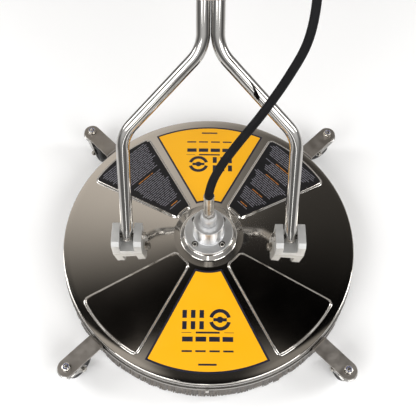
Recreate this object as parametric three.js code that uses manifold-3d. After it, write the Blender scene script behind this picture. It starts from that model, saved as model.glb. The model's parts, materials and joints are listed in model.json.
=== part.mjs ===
// A 30 inch rotary flat-surface cleaner for a pressure washer: a round stainless deck on
// four swivel casters, a spinning two-arm spray bar under it, and a hinged two-tube handle.
// Millimetres, +Z up, +X across the machine and +Y towards the operator. The origin is on
// the floor under the middle of the machine's box.
import * as THREE from "three";
import { mergeVertices } from "three/addons/utils/BufferGeometryUtils.js";
import Module from "manifold-3d";

const wasm = await Module();
wasm.setup();

// ---------------------------------------------------------------- driving dimensions
const GAP = 0.3; // clearance between pieces that touch
const RUNNING_GAP = 0.5; // clearance round pieces that turn

// Deck: a shallow cone of sheet steel with a raised boss, four pressed panels and a skirt.
const DECK_RADIUS = 381;
const RIM_HEIGHT = 100; // above the floor
const SHEET = 2;
const CONE_TOP_RADIUS = 90;
const CONE_RISE = 24;
const EDGE_ROUND = 3;
const SKIRT_DEPTH = 38;
const BEAD_OUT = 3;
const BEAD_DEPTH = 5;
const BOSS_RADIUS = 63;
const BOSS_FOOT_RADIUS = 72.5;
const BOSS_HEIGHT = 36;
const DECK_BORE = 30;
const PANEL_INNER = 91;
const PANEL_OUTER = 358;
const PANEL_HALF_ANGLE = 16.6;
const PANEL_CORNER = 12;
const PANEL_RISE = 5;
const PANEL_ANGLES = [45, 135, 225, 315];

// Brush skirt and the steel strip that carries it.
const CHANNEL_OUTER = 378.6;
const CHANNEL_INNER = 370;
const CHANNEL_TOP = -20;
const CHANNEL_FOOT = -40;
const CHANNEL_WALL = 1.4;
const BRUSH_TOP_OUTER = 376.9;
const BRUSH_TOP_INNER = 371.7;
const BRUSH_FOOT_OUTER = 384;
const BRUSH_FOOT_INNER = 374;
const BRUSH_CLEARANCE = 2; // bristle tips above the floor

// Swivel on the boss. Heights are above the rim plane.
const FLANGE_RADIUS = 62;
const FLANGE_TOP = 45;
const HOUSING_RADIUS = 38;
const HOUSING_TOP = 103;
const BEARING_OUTER = 23.5;
const BEARING_BORE = 12.7;
const BEARING_WIDTH = 12;
const CAP_RADIUS = 18;
const CAP_LIP_RADIUS = 20.5;
const CAP_TOP = 138;
const SPIGOT_RADIUS = 15;
const FITTING_RADIUS = 11.5;
const FERRULE_RADIUS = 12.5;
const FERRULE_TOP = 233;
const WATERWAY = 5;
const SCREW_CIRCLE = 49;
const SCREW_RADIUS = 4;
const SCREW_HEAD_RADIUS = 7;
const BACKING_THICKNESS = 5;

// Rotor under the deck. Heights are above the rim plane.
const SHAFT_RADIUS = 12.2;
const SHAFT_FOOT_RADIUS = 15;
const SHAFT_FOOT = -24;
const ROTOR_HUB_RADIUS = 30;
const ROTOR_HUB_FOOT = -30;
const ROTOR_HUB_TOP = 4;
const ARM_HEIGHT = -15;
const ARM_RADIUS = 8.5;
const ARM_REACH = 332;
const SOCKET_LENGTH = 20;
const NOZZLE_LENGTH = 24;
const NOZZLE_RADIUS = 7;
const NOZZLE_TILT = 18;

// Casters at the corners of a square.
const STEM_X = 337;
const STEM_Y = 340;
const STRAP_WIDTH = 44;
const STRAP_THICKNESS = 4;
const STRAP_DROP = 6; // top of the strap below the rim plane
const STRAP_BEND = 5;
const STEM_RADIUS = 5;
const RACEWAY_RADIUS = 25;
const RACEWAY_HEIGHT = 8;
const FORK_CROWN = 4;
const WHEEL_RADIUS = 36;
const WHEEL_WIDTH = 26;
const TRAIL = 28;
const FORK_LEG = 3;
const FORK_GAP = 29.6; // inside width of the fork
const AXLE_RADIUS = 4;

// Clevises and the handle pivot.
const PIVOT_X = 207.5;
const PIVOT_Y = -14.5;
const PIVOT_HEIGHT = 50; // above the rim plane
const CHEEK = 20;
const SLOT = 36;
const CLEVIS_TOP = 65;
const CLEVIS_FLOOR = 30;
const CLEVIS_FRONT = 36; // from the pivot
const CLEVIS_REAR = 31;
const FRONT_CHAMFER = 10;
const REAR_CHAMFER = 5;
const BOLT_RADIUS = 6;

// Handle, drawn flat: x across, y up along the handle from the pivot, z out of its front.
const HANDLE_LEAN = 55; // degrees above horizontal at rest
const TUBE_RADIUS = 16;
const TUBE_WALL = 1.5;
const TUBE_TIP = 18; // end of the tube past the pivot
const TIP_WIDTH = 24;
const FLATTENED_LENGTH = 26;
const ELBOW = 270;
const MEETING = 476;
const PARTING = 720;
const PARALLEL_X = TUBE_RADIUS + GAP;
const BAR_X = 200;
const BAR_START = PARTING + BAR_X - PARALLEL_X; // the bars spread at 45 degrees
const BAR_END = 1120;
const BEND_RADIUS = 90;
const BEND_STEPS = 3;
const GRIP_START = 1003;
const GRIP_RADIUS = 19;
const BAND_HEIGHT = 600;
const BAND_WIDTH = 30;

// Trigger gun on the right bar, in the handle's flat frame.
const GUN_BASE = 26.3;
const GUN_TOP = 62;
const GUN_START = 880;
const GUN_END = 998;
const GUN_WIDTH = 28;
const GUN_AXIS = 44;
const OUTLET_START = 862;
const INLET_Y = 925;
const INLET_LENGTH = 26;
const TRIGGER_Y = 984;
const TRIGGER_Z = 52;
const TRIGGER_WIDTH = 9;
const TRIGGER_REACH = 108;
const PIN_RADIUS = 2;
const UPPER_FERRULE_START = 800;

const HOSE_RADIUS = 10.25;
const ROUND_SIDES = 20;
const WHEEL_SIDES = 18;
const RIM_SIDES = 48;

// ---------------------------------------------------------------- looks
const LOOKS = {
  polished: { color: 0xa59d92, roughness: 0.18, metalness: 1 },
  brushed: { color: 0x9a958d, roughness: 0.35, metalness: 1 },
  aluminium: { color: 0xb9bbbb, roughness: 0.42, metalness: 0.9 },
  zinc: { color: 0xb2b0aa, roughness: 0.3, metalness: 1 },
  brass: { color: 0xb08d4a, roughness: 0.35, metalness: 1 },
  bristle: { color: 0x5d554c, roughness: 0.9, metalness: 0 },
  rubber: { color: 0x151515, roughness: 0.75, metalness: 0 },
  plastic: { color: 0x1b1b1c, roughness: 0.55, metalness: 0 },
};

// ---------------------------------------------------------------- solids
// A closed three.js geometry as a solid that can be joined and cut.
function solid(geometry) {
  const bare = geometry.clone();
  bare.deleteAttribute("normal");
  bare.deleteAttribute("uv");
  const merged = mergeVertices(bare, 1e-4);
  const index = merged.index.array;
  const triangles = [];
  for (let i = 0; i < index.length; i += 3) {
    const [a, b, c] = [index[i], index[i + 1], index[i + 2]];
    if (a !== b && b !== c && c !== a) triangles.push(a, b, c);
  }
  const mesh = new wasm.Mesh({
    numProp: 3,
    vertProperties: Float32Array.from(merged.attributes.position.array),
    triVerts: Uint32Array.from(triangles),
  });
  return new wasm.Manifold(mesh);
}

function join(first, ...others) {
  return others.reduce((whole, other) => whole.add(other), first);
}

function cut(first, ...tools) {
  return tools.reduce((rest, tool) => rest.subtract(tool), first);
}

// Solid of revolution about Z. The profile is [radius, height] pairs, counter-clockwise
// with radius to the right and height up; it starts and ends on the axis or is a ring.
function turned(profile, sides = ROUND_SIDES) {
  const points = profile.map(([radius, height]) => new THREE.Vector2(radius, height));
  const geometry = new THREE.LatheGeometry(points, sides);
  geometry.rotateX(Math.PI / 2);
  return solid(geometry);
}

function ring(inner, outer, foot, top, sides = ROUND_SIDES) {
  return turned([[inner, foot], [outer, foot], [outer, top], [inner, top], [inner, foot]], sides);
}

// Round bar between two points; six sides make it a hexagon bar.
function rod(radius, from, to, sides = ROUND_SIDES) {
  const start = new THREE.Vector3(...from);
  const run = new THREE.Vector3(...to).sub(start);
  const geometry = new THREE.CylinderGeometry(radius, radius, run.length(), sides);
  const along = run.clone().normalize();
  const turn = new THREE.Quaternion().setFromUnitVectors(new THREE.Vector3(0, 1, 0), along);
  geometry.applyQuaternion(turn);
  geometry.translate(...start.addScaledVector(run, 0.5).toArray());
  return solid(geometry);
}

// Tool for a hole that a round bar of the given radius passes through with a gap all round.
function hole(radius, from, to, sides = 16) {
  return rod((radius + GAP) / Math.cos(Math.PI / sides), from, to, sides);
}

function block(low, high) {
  const size = high.map((value, axis) => value - low[axis]);
  const middle = high.map((value, axis) => (value + low[axis]) / 2);
  const geometry = new THREE.BoxGeometry(...size);
  geometry.translate(...middle);
  return solid(geometry);
}

// Flat outline in X and Y raised from one height to another.
function raised(outline, foot, top, curveSegments = 6) {
  const options = { depth: top - foot, bevelEnabled: false, curveSegments };
  const geometry = new THREE.ExtrudeGeometry(outline, options);
  geometry.translate(0, 0, foot);
  return solid(geometry);
}

// Outline drawn with Y to the right and Z up, stretched along X.
function across(outline, left, right, curveSegments = 6) {
  const options = { depth: right - left, bevelEnabled: false, curveSegments };
  const geometry = new THREE.ExtrudeGeometry(outline, options);
  geometry.rotateX(Math.PI / 2);
  geometry.rotateZ(Math.PI / 2);
  geometry.translate(left, 0, 0);
  return solid(geometry);
}

function outlineOf(points) {
  return new THREE.Shape(points.map(([x, y]) => new THREE.Vector2(x, y)));
}

function circle(radius) {
  return new THREE.Shape().absarc(0, 0, radius, 0, 2 * Math.PI, false);
}

// Named mesh with a material of its own.
function piece(name, body, look) {
  const data = body.getMesh();
  const geometry = new THREE.BufferGeometry();
  geometry.setAttribute("position", new THREE.BufferAttribute(data.vertProperties, 3));
  geometry.setIndex(new THREE.BufferAttribute(data.triVerts, 1));
  geometry.computeVertexNormals();
  const mesh = new THREE.Mesh(geometry, new THREE.MeshStandardMaterial(LOOKS[look]));
  mesh.name = name;
  return mesh;
}

// ---------------------------------------------------------------- deck
// Upper line of the deck from the skirt to the axis, moved in from its surface by inset.
function deckLine(inset) {
  return [
    [DECK_RADIUS - inset, RIM_HEIGHT - EDGE_ROUND - inset],
    [DECK_RADIUS - EDGE_ROUND - inset, RIM_HEIGHT - inset],
    [CONE_TOP_RADIUS, RIM_HEIGHT + CONE_RISE - inset],
    [BOSS_FOOT_RADIUS - inset, RIM_HEIGHT + CONE_RISE - inset],
    [BOSS_RADIUS - inset, RIM_HEIGHT + BOSS_HEIGHT - inset],
    [0, RIM_HEIGHT + BOSS_HEIGHT - inset],
  ];
}

// Outline of a pressed panel about the X axis, with its corners rounded.
function panelOutline(inset) {
  const inner = PANEL_INNER + inset;
  const outer = PANEL_OUTER - inset;
  const middle = (inner + outer) / 2;
  const half = THREE.MathUtils.degToRad(PANEL_HALF_ANGLE) - inset / middle;
  const at = (radius, angle) => [radius * Math.cos(angle), radius * Math.sin(angle)];
  const outerEnd = half - PANEL_CORNER / outer;
  const innerEnd = half - PANEL_CORNER / 2 / inner;
  const outline = new THREE.Shape();
  outline.moveTo(...at(outer - PANEL_CORNER, -half));
  outline.quadraticCurveTo(...at(outer, -half), ...at(outer, -outerEnd));
  outline.absarc(0, 0, outer, -outerEnd, outerEnd, false);
  outline.quadraticCurveTo(...at(outer, half), ...at(outer - PANEL_CORNER, half));
  outline.lineTo(...at(inner + PANEL_CORNER, half));
  outline.quadraticCurveTo(...at(inner, half), ...at(inner, innerEnd));
  outline.absarc(0, 0, inner, innerEnd, -innerEnd, true);
  outline.quadraticCurveTo(...at(inner, -half), ...at(inner + PANEL_CORNER, -half));
  return outline;
}

// The cone lifted by the panels' rise, which gives a panel its top.
function liftedCone(inset) {
  const top = RIM_HEIGHT + PANEL_RISE - inset;
  const foot = RIM_HEIGHT - SKIRT_DEPTH;
  return turned([
    [0, foot],
    [DECK_RADIUS, foot],
    [DECK_RADIUS, top],
    [CONE_TOP_RADIUS, top + CONE_RISE],
    [0, top + CONE_RISE],
  ], RIM_SIDES);
}

// Everything under the deck's surface moved in by inset, down to the given foot.
function deckBody(inset, foot, skirt) {
  const sleeve = turned([[0, foot], ...skirt, ...deckLine(inset)], RIM_SIDES);
  const top = RIM_HEIGHT + BOSS_HEIGHT;
  const lifted = liftedCone(inset);
  const prism = new THREE.ExtrudeGeometry(panelOutline(inset), {
    depth: top - foot - SKIRT_DEPTH / 2,
    bevelEnabled: false,
    curveSegments: 5,
  });
  prism.translate(0, 0, foot + SKIRT_DEPTH / 2);
  const panels = PANEL_ANGLES.map((angle) => {
    const turnedPrism = prism.clone().rotateZ(THREE.MathUtils.degToRad(angle));
    return solid(turnedPrism).intersect(lifted);
  });
  return join(sleeve, ...panels);
}

function screwPlaces() {
  return PANEL_ANGLES.map((angle) => {
    const turn = THREE.MathUtils.degToRad(angle);
    return [SCREW_CIRCLE * Math.cos(turn), SCREW_CIRCLE * Math.sin(turn)];
  });
}

function screwHoles(foot, top) {
  return screwPlaces().map(([x, y]) => hole(SCREW_RADIUS, [x, y, foot], [x, y, top], 12));
}

function makeDeck() {
  const foot = RIM_HEIGHT - SKIRT_DEPTH;
  const bead = [
    [DECK_RADIUS + BEAD_OUT, foot],
    [DECK_RADIUS + BEAD_OUT, foot + BEAD_DEPTH],
    [DECK_RADIUS, foot + BEAD_DEPTH + BEAD_OUT],
  ];
  const outside = deckBody(0, foot, bead);
  const inside = deckBody(SHEET, foot - SHEET, [[DECK_RADIUS - SHEET, foot - SHEET]]);
  const bore = rod(DECK_BORE, [0, 0, RIM_HEIGHT], [0, 0, RIM_HEIGHT + 2 * BOSS_HEIGHT]);
  const holes = screwHoles(RIM_HEIGHT, RIM_HEIGHT + 2 * BOSS_HEIGHT);
  return [piece("deck", cut(outside, inside, bore, ...holes), "polished")];
}

// ---------------------------------------------------------------- brush skirt
function makeBrush() {
  const channelTop = RIM_HEIGHT + CHANNEL_TOP;
  const channelFoot = RIM_HEIGHT + CHANNEL_FOOT;
  const channel = turned([
    [CHANNEL_INNER, channelFoot],
    [CHANNEL_INNER + CHANNEL_WALL, channelFoot],
    [CHANNEL_INNER + CHANNEL_WALL, channelTop - CHANNEL_WALL],
    [CHANNEL_OUTER - CHANNEL_WALL, channelTop - CHANNEL_WALL],
    [CHANNEL_OUTER - CHANNEL_WALL, channelFoot],
    [CHANNEL_OUTER, channelFoot],
    [CHANNEL_OUTER, channelTop],
    [CHANNEL_INNER, channelTop],
    [CHANNEL_INNER, channelFoot],
  ], RIM_SIDES);
  const brushTop = channelTop - CHANNEL_WALL - GAP;
  const brush = turned([
    [BRUSH_FOOT_INNER, BRUSH_CLEARANCE],
    [BRUSH_FOOT_OUTER, BRUSH_CLEARANCE],
    [BRUSH_TOP_OUTER, channelFoot - GAP],
    [BRUSH_TOP_OUTER, brushTop],
    [BRUSH_TOP_INNER, brushTop],
    [BRUSH_TOP_INNER, channelFoot - GAP],
    [BRUSH_FOOT_INNER, BRUSH_CLEARANCE],
  ], RIM_SIDES);
  const clipBack = -(DECK_RADIUS + BEAD_OUT + GAP);
  const clip = block(
    [-4, clipBack - 1.5, RIM_HEIGHT - SKIRT_DEPTH - 20],
    [4, clipBack, RIM_HEIGHT - SKIRT_DEPTH + BEAD_DEPTH],
  );
  return [
    piece("brush_channel", channel, "brushed"),
    piece("brush_skirt", brush, "bristle"),
    piece("strip_clip", clip, "brushed"),
  ];
}

// ---------------------------------------------------------------- swivel
function makeSwivel() {
  const boss = RIM_HEIGHT + BOSS_HEIGHT;
  const flangeTop = RIM_HEIGHT + FLANGE_TOP;
  const housingTop = RIM_HEIGHT + HOUSING_TOP;
  const bearingBore = BEARING_OUTER + RUNNING_GAP;
  const boreTop = housingTop - 11;
  const housing = turned([
    [bearingBore, boss + GAP],
    [FLANGE_RADIUS, boss + GAP],
    [FLANGE_RADIUS, flangeTop - 1],
    [FLANGE_RADIUS - 1, flangeTop],
    [HOUSING_RADIUS, flangeTop],
    [HOUSING_RADIUS, housingTop - 2],
    [HOUSING_RADIUS - 2, housingTop],
    [SPIGOT_RADIUS + RUNNING_GAP, housingTop],
    [SPIGOT_RADIUS + RUNNING_GAP, boreTop],
    [bearingBore, boreTop],
    [bearingBore, boss + GAP],
  ]);

  const spigotFoot = housingTop - 8;
  const capTop = RIM_HEIGHT + CAP_TOP;
  const socket = FITTING_RADIUS - 3;
  const cap = turned([
    [WATERWAY, spigotFoot],
    [SPIGOT_RADIUS, spigotFoot],
    [SPIGOT_RADIUS, housingTop + GAP],
    [CAP_RADIUS, housingTop + GAP],
    [CAP_RADIUS, capTop - 16],
    [CAP_LIP_RADIUS, capTop - 11],
    [CAP_LIP_RADIUS, capTop - 6],
    [CAP_LIP_RADIUS - 3, capTop],
    [socket + RUNNING_GAP, capTop],
    [socket + RUNNING_GAP, capTop - 14],
    [WATERWAY, capTop - 14],
    [WATERWAY, spigotFoot],
  ]);

  const bearings = [boss + 3, boreTop - BEARING_WIDTH - 1].map((foot, index) => {
    const body = ring(BEARING_BORE, BEARING_OUTER, foot, foot + BEARING_WIDTH);
    return piece(["lower_bearing", "upper_bearing"][index], body, "zinc");
  });
  const sealTop = spigotFoot - GAP;
  const seal = ring(WATERWAY + 0.5, SPIGOT_RADIUS, sealTop - 3, sealTop);

  const plateTop = boss - SHEET - GAP;
  const plate = ring(DECK_BORE, FLANGE_RADIUS - 2.5, plateTop - BACKING_THICKNESS, plateTop);
  const holes = screwHoles(RIM_HEIGHT, housingTop);

  const screws = screwPlaces().map(([x, y], index) => {
    const shank = rod(SCREW_RADIUS, [x, y, plateTop - 12], [x, y, flangeTop + GAP + 1], 12);
    const head = rod(SCREW_HEAD_RADIUS, [x, y, flangeTop + GAP], [x, y, flangeTop + 4.5], 16);
    const key = rod(3, [x, y, flangeTop + 2], [x, y, flangeTop + 6], 6);
    return piece(`flange_screw_${index + 1}`, cut(join(shank, head), key), "zinc");
  });

  const fittingFoot = capTop - 14 + GAP;
  const hexFoot = capTop + GAP;
  const hexTop = hexFoot + 14;
  const bore = rod(WATERWAY - 1, [0, 0, fittingFoot - 5], [0, 0, hexTop + 20], 12);
  const fitting = join(
    rod(socket, [0, 0, fittingFoot], [0, 0, hexFoot + 2]),
    rod(FITTING_RADIUS, [0, 0, hexFoot], [0, 0, hexTop], 6),
    rod(8, [0, 0, hexTop - 2], [0, 0, hexTop + 6]),
  );
  const ferruleFoot = hexTop + GAP;
  const ferruleTop = RIM_HEIGHT + FERRULE_TOP - GAP;
  const ferrule = cut(
    rod(FERRULE_RADIUS, [0, 0, ferruleFoot], [0, 0, ferruleTop]),
    hole(8, [0, 0, ferruleFoot - 5], [0, 0, hexTop + 7]),
    rod(WATERWAY, [0, 0, hexTop], [0, 0, ferruleTop + 5], 12),
  );
  return [
    piece("swivel_housing", cut(housing, ...holes), "aluminium"),
    piece("swivel_cap", cap, "aluminium"),
    ...bearings,
    piece("shaft_seal", seal, "rubber"),
    piece("backing_plate", cut(plate, ...holes), "brushed"),
    ...screws,
    piece("inlet_fitting", cut(fitting, bore), "zinc"),
    piece("lower_ferrule", ferrule, "zinc"),
  ];
}

// ---------------------------------------------------------------- rotor
function makeRotor() {
  const shaftFoot = RIM_HEIGHT + SHAFT_FOOT;
  const shoulder = RIM_HEIGHT + BOSS_HEIGHT + 2;
  const shaftTop = RIM_HEIGHT + HOUSING_TOP - 12;
  const shaft = turned([
    [0, shaftFoot],
    [SHAFT_FOOT_RADIUS, shaftFoot],
    [SHAFT_FOOT_RADIUS, shoulder],
    [SHAFT_RADIUS, shoulder],
    [SHAFT_RADIUS, shaftTop],
    [WATERWAY, shaftTop],
    [WATERWAY, shaftFoot + 10],
    [0, shaftFoot + 10],
  ]);
  const hubFoot = RIM_HEIGHT + ROTOR_HUB_FOOT;
  const armHeight = RIM_HEIGHT + ARM_HEIGHT;
  const hub = cut(
    turned([
      [0, hubFoot],
      [ROTOR_HUB_RADIUS - 2, hubFoot],
      [ROTOR_HUB_RADIUS, hubFoot + 2],
      [ROTOR_HUB_RADIUS, RIM_HEIGHT + ROTOR_HUB_TOP],
      [SHAFT_FOOT_RADIUS + RUNNING_GAP, RIM_HEIGHT + ROTOR_HUB_TOP],
      [SHAFT_FOOT_RADIUS + RUNNING_GAP, shaftFoot - GAP],
      [0, shaftFoot - GAP],
    ]),
    hole(ARM_RADIUS, [-40, 0, armHeight], [-19, 0, armHeight]),
    hole(ARM_RADIUS, [19, 0, armHeight], [40, 0, armHeight]),
  );
  const pieces = [piece("rotor_shaft", shaft, "zinc"), piece("rotor_hub", hub, "brushed")];
  for (const [side, sign] of [["left", -1], ["right", 1]]) {
    pieces.push(...makeSprayArm(side, sign, armHeight));
  }
  return pieces;
}

// One spray arm with its nozzle, which leans back against the direction of spin.
function makeSprayArm(side, sign, armHeight) {
  const lean = THREE.MathUtils.degToRad(NOZZLE_TILT);
  const down = [0, sign * Math.sin(lean), -Math.cos(lean)];
  const end = [sign * (ARM_REACH - 10), 0, armHeight];
  const below = (distance) => end.map((value, axis) => value + distance * down[axis]);
  const arm = cut(
    join(
      rod(ARM_RADIUS, [sign * 20, 0, armHeight], [sign * ARM_REACH, 0, armHeight], 16),
      rod(ARM_RADIUS + 1.5, end, below(SOCKET_LENGTH), 16),
    ),
    rod(5, [sign * 10, 0, armHeight], end, 10),
    hole(NOZZLE_RADIUS - 2, end, below(SOCKET_LENGTH + 5), 12),
  );
  const nozzle = cut(
    join(
      rod(NOZZLE_RADIUS - 2, below(SOCKET_LENGTH - 8), below(SOCKET_LENGTH + 2), 12),
      rod(NOZZLE_RADIUS, below(SOCKET_LENGTH + GAP), below(SOCKET_LENGTH + NOZZLE_LENGTH), 6),
    ),
    rod(1.5, below(SOCKET_LENGTH - 12), below(SOCKET_LENGTH + NOZZLE_LENGTH + 5), 8),
  );
  return [
    piece(`spray_arm_${side}`, arm, "polished"),
    piece(`nozzle_${side}`, nozzle, "brass"),
  ];
}

// ---------------------------------------------------------------- casters
// Strap welded to the skirt, drawn with the stem at the origin and the deck towards -Y.
function casterStrap(reach) {
  const top = RIM_HEIGHT - STRAP_DROP;
  const underside = top - STRAP_THICKNESS;
  const tabFoot = RIM_HEIGHT - SKIRT_DEPTH;
  const half = STRAP_WIDTH / 2;
  const outline = new THREE.Shape();
  outline.moveTo(-half, -reach);
  outline.lineTo(half, -reach);
  outline.lineTo(half, 0);
  outline.absarc(0, 0, half, 0, Math.PI, false);
  const stemHole = new THREE.Path();
  stemHole.absarc(0, 0, STEM_RADIUS + RUNNING_GAP, 0, 2 * Math.PI, true);
  outline.holes.push(stemHole);
  const side = outlineOf([
    [-reach, tabFoot],
    [-reach + STRAP_THICKNESS, tabFoot],
    [-reach + STRAP_THICKNESS, underside - STRAP_BEND / 2],
    [-reach + STRAP_THICKNESS + STRAP_BEND / 2, underside],
    [half, underside],
    [half, top],
    [-reach + STRAP_BEND, top],
    [-reach, top - STRAP_BEND],
  ]);
  return across(side, -half, half).intersect(raised(outline, tabFoot, top));
}

function casterFork() {
  const ceiling = RIM_HEIGHT - STRAP_DROP - STRAP_THICKNESS - GAP;
  const crownTop = ceiling - RACEWAY_HEIGHT;
  const crownFoot = crownTop - FORK_CROWN;
  const stemTop = RIM_HEIGHT - STRAP_DROP + 12;
  const legOut = FORK_GAP / 2 + FORK_LEG;
  const leg = new THREE.Shape();
  leg.moveTo(18, crownTop - 1);
  leg.lineTo(-26, crownTop - 1);
  leg.lineTo(-TRAIL - 11, WHEEL_RADIUS);
  leg.absarc(-TRAIL, WHEEL_RADIUS, 11, Math.PI, 2 * Math.PI, false);
  leg.lineTo(18, crownFoot - 4);
  const axleHole = new THREE.Path();
  axleHole.absarc(-TRAIL, WHEEL_RADIUS, AXLE_RADIUS + RUNNING_GAP, 0, 2 * Math.PI, true);
  leg.holes.push(axleHole);
  return join(
    rod(STEM_RADIUS, [0, 0, crownTop], [0, 0, stemTop], 12),
    rod(RACEWAY_RADIUS, [0, 0, crownTop - 1], [0, 0, ceiling]),
    block([-legOut, -26, crownFoot], [legOut, 18, crownTop]),
    across(leg, -legOut, -FORK_GAP / 2, 4),
    across(leg, FORK_GAP / 2, legOut, 4),
  );
}

function casterWheel() {
  const half = WHEEL_WIDTH / 2;
  const bore = AXLE_RADIUS + RUNNING_GAP;
  const profile = [
    [bore, -half - 1],
    [9, -half - 1],
    [9, -half + 2],
    [WHEEL_RADIUS - 5, -half],
    [WHEEL_RADIUS, -half + 5],
    [WHEEL_RADIUS, half - 5],
    [WHEEL_RADIUS - 5, half],
    [9, half - 2],
    [9, half + 1],
    [bore, half + 1],
    [bore, -half - 1],
  ];
  const points = profile.map(([radius, height]) => new THREE.Vector2(radius, height));
  const geometry = new THREE.LatheGeometry(points, WHEEL_SIDES);
  geometry.rotateZ(Math.PI / 2);
  geometry.translate(0, -TRAIL, WHEEL_RADIUS);
  return solid(geometry);
}

function wheelAxle() {
  const legOut = FORK_GAP / 2 + FORK_LEG + GAP;
  const at = (x) => [x, -TRAIL, WHEEL_RADIUS];
  return join(
    rod(AXLE_RADIUS, at(-legOut - 3), at(legOut + 3), 12),
    rod(7.5, at(-legOut - 5), at(-legOut), 6),
    rod(7.5, at(legOut), at(legOut + 5), 6),
  );
}

function stemNut() {
  const foot = RIM_HEIGHT - STRAP_DROP + GAP;
  return cut(
    join(
      rod(9.8, [0, 0, foot], [0, 0, foot + 8], 6),
      rod(7.5, [0, 0, foot + 7], [0, 0, foot + 10.5], 12),
    ),
    hole(STEM_RADIUS, [0, 0, foot - 2], [0, 0, foot + 20], 12),
  );
}

// Each caster's strap points at the hub; its fork trails towards its own heading, in
// degrees from +X.
const CASTERS = [
  { name: "rear_left", x: -STEM_X, y: STEM_Y, heading: -56 },
  { name: "rear_right", x: STEM_X, y: STEM_Y, heading: -151 },
  { name: "front_left", x: -STEM_X, y: -STEM_Y, heading: 54 },
  { name: "front_right", x: STEM_X, y: -STEM_Y, heading: 112 },
];

function makeCaster({ name, x, y, heading }) {
  const reach = Math.hypot(x, y) - DECK_RADIUS - BEAD_OUT - GAP;
  const mount = new THREE.Group();
  mount.position.set(x, y, 0);
  mount.rotation.z = Math.atan2(y, x) - Math.PI / 2;
  mount.add(piece(`caster_arm_${name}`, casterStrap(reach), "brushed"));
  const swivel = new THREE.Group();
  swivel.position.set(x, y, 0);
  swivel.rotation.z = THREE.MathUtils.degToRad(heading + 90);
  swivel.add(
    piece(`caster_fork_${name}`, casterFork(), "zinc"),
    piece(`stem_nut_${name}`, stemNut(), "zinc"),
    piece(`axle_bolt_${name}`, wheelAxle(), "zinc"),
    piece(`wheel_${name}`, casterWheel(), "rubber"),
  );
  return [mount, swivel];
}

// ---------------------------------------------------------------- clevises
function clevisOutline() {
  const foot = RIM_HEIGHT;
  const top = RIM_HEIGHT + CLEVIS_TOP;
  return outlineOf([
    [PIVOT_Y - CLEVIS_FRONT, foot],
    [PIVOT_Y + CLEVIS_REAR, foot],
    [PIVOT_Y + CLEVIS_REAR, top - REAR_CHAMFER],
    [PIVOT_Y + CLEVIS_REAR - REAR_CHAMFER, top],
    [PIVOT_Y - CLEVIS_FRONT + FRONT_CHAMFER, top],
    [PIVOT_Y - CLEVIS_FRONT, top - FRONT_CHAMFER],
  ]);
}

// The clevis stands on the cone, so its foot is cut to the cone with a small gap. Its bolt
// goes in from the hub's side and its thread ends just outside the outer cheek.
function makeClevis(side, sign, deckShape) {
  const x = sign * PIVOT_X;
  const half = SLOT / 2 + CHEEK;
  const height = RIM_HEIGHT + PIVOT_HEIGHT;
  const body = cut(
    across(clevisOutline(), x - half, x + half),
    block(
      [x - SLOT / 2, PIVOT_Y - 60, RIM_HEIGHT + CLEVIS_FLOOR],
      [x + SLOT / 2, PIVOT_Y + 60, RIM_HEIGHT + CLEVIS_TOP + 5],
    ),
    hole(BOLT_RADIUS, [x - half - 5, PIVOT_Y, height], [x + half + 5, PIVOT_Y, height]),
    deckShape,
  );
  const inner = (distance) => [x - sign * distance, PIVOT_Y, height];
  const bolt = join(
    rod(BOLT_RADIUS, inner(-half - 2), inner(half + 1), 16),
    rod(13, inner(half + GAP), inner(half + GAP + 2), 16),
    rod(11, inner(half + GAP + 1), inner(half + 10), 6),
  );
  return [
    piece(`clevis_${side}`, body, "aluminium"),
    piece(`pivot_bolt_${side}`, bolt, "zinc"),
  ];
}

// ---------------------------------------------------------------- handle
// Flat run of straight stretches and round bends, with its steps at the bends only.
class BentRun extends THREE.Curve {
  constructor(corners, radius, stepsPerBend) {
    super();
    this.stations = [];
    const places = corners.map(([x, y]) => new THREE.Vector3(x, y, 0));
    this.addStation(places[0], places[1].clone().sub(places[0]));
    for (let i = 1; i < places.length - 1; i += 1) {
      const before = places[i].clone().sub(places[i - 1]).normalize();
      const after = places[i + 1].clone().sub(places[i]).normalize();
      const turn = before.angleTo(after);
      if (turn < 1e-6) {
        this.addStation(places[i], after);
      } else {
        this.addBend(places[i], before, after, turn, radius, stepsPerBend);
      }
    }
    const last = places[places.length - 1];
    this.addStation(last, last.clone().sub(places[places.length - 2]));
  }

  addStation(point, direction) {
    this.stations.push({ point: point.clone(), tangent: direction.clone().normalize() });
  }

  addBend(corner, before, after, turn, radius, steps) {
    const start = corner.clone().addScaledVector(before, -radius * Math.tan(turn / 2));
    const axis = before.clone().cross(after).normalize();
    const inward = axis.clone().cross(before);
    const centre = start.clone().addScaledVector(inward, radius);
    for (let step = 0; step <= steps; step += 1) {
      const angle = (turn * step) / steps;
      const arm = inward.clone().multiplyScalar(-radius).applyAxisAngle(axis, angle);
      this.addStation(centre.clone().add(arm), before.clone().applyAxisAngle(axis, angle));
    }
  }

  stationAt(u) {
    return this.stations[Math.round(u * (this.stations.length - 1))];
  }

  getPoint(u) {
    return this.stationAt(u).point.clone();
  }

  getPointAt(u) {
    return this.getPoint(u);
  }

  getTangentAt(u) {
    return this.stationAt(u).tangent.clone();
  }
}

function sweptAlong(run, radius, sides) {
  return new THREE.ExtrudeGeometry(circle(radius), {
    steps: run.stations.length - 1,
    curveSegments: sides / 2,
    extrudePath: run,
  });
}

// Narrows the tube's lower end to the width of its tip, and lets it spread a little in depth.
function flattenEnd(geometry, x) {
  const places = geometry.attributes.position;
  for (let i = 0; i < places.count; i += 1) {
    const along = Math.min(Math.max(places.getY(i) / FLATTENED_LENGTH, 0), 1);
    const width = THREE.MathUtils.lerp(TIP_WIDTH / 2 / TUBE_RADIUS, 1, along);
    const depth = THREE.MathUtils.lerp(1.1, 1, along);
    places.setX(i, x + (places.getX(i) - x) * width);
    places.setZ(i, places.getZ(i) * depth);
  }
  return geometry;
}

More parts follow.
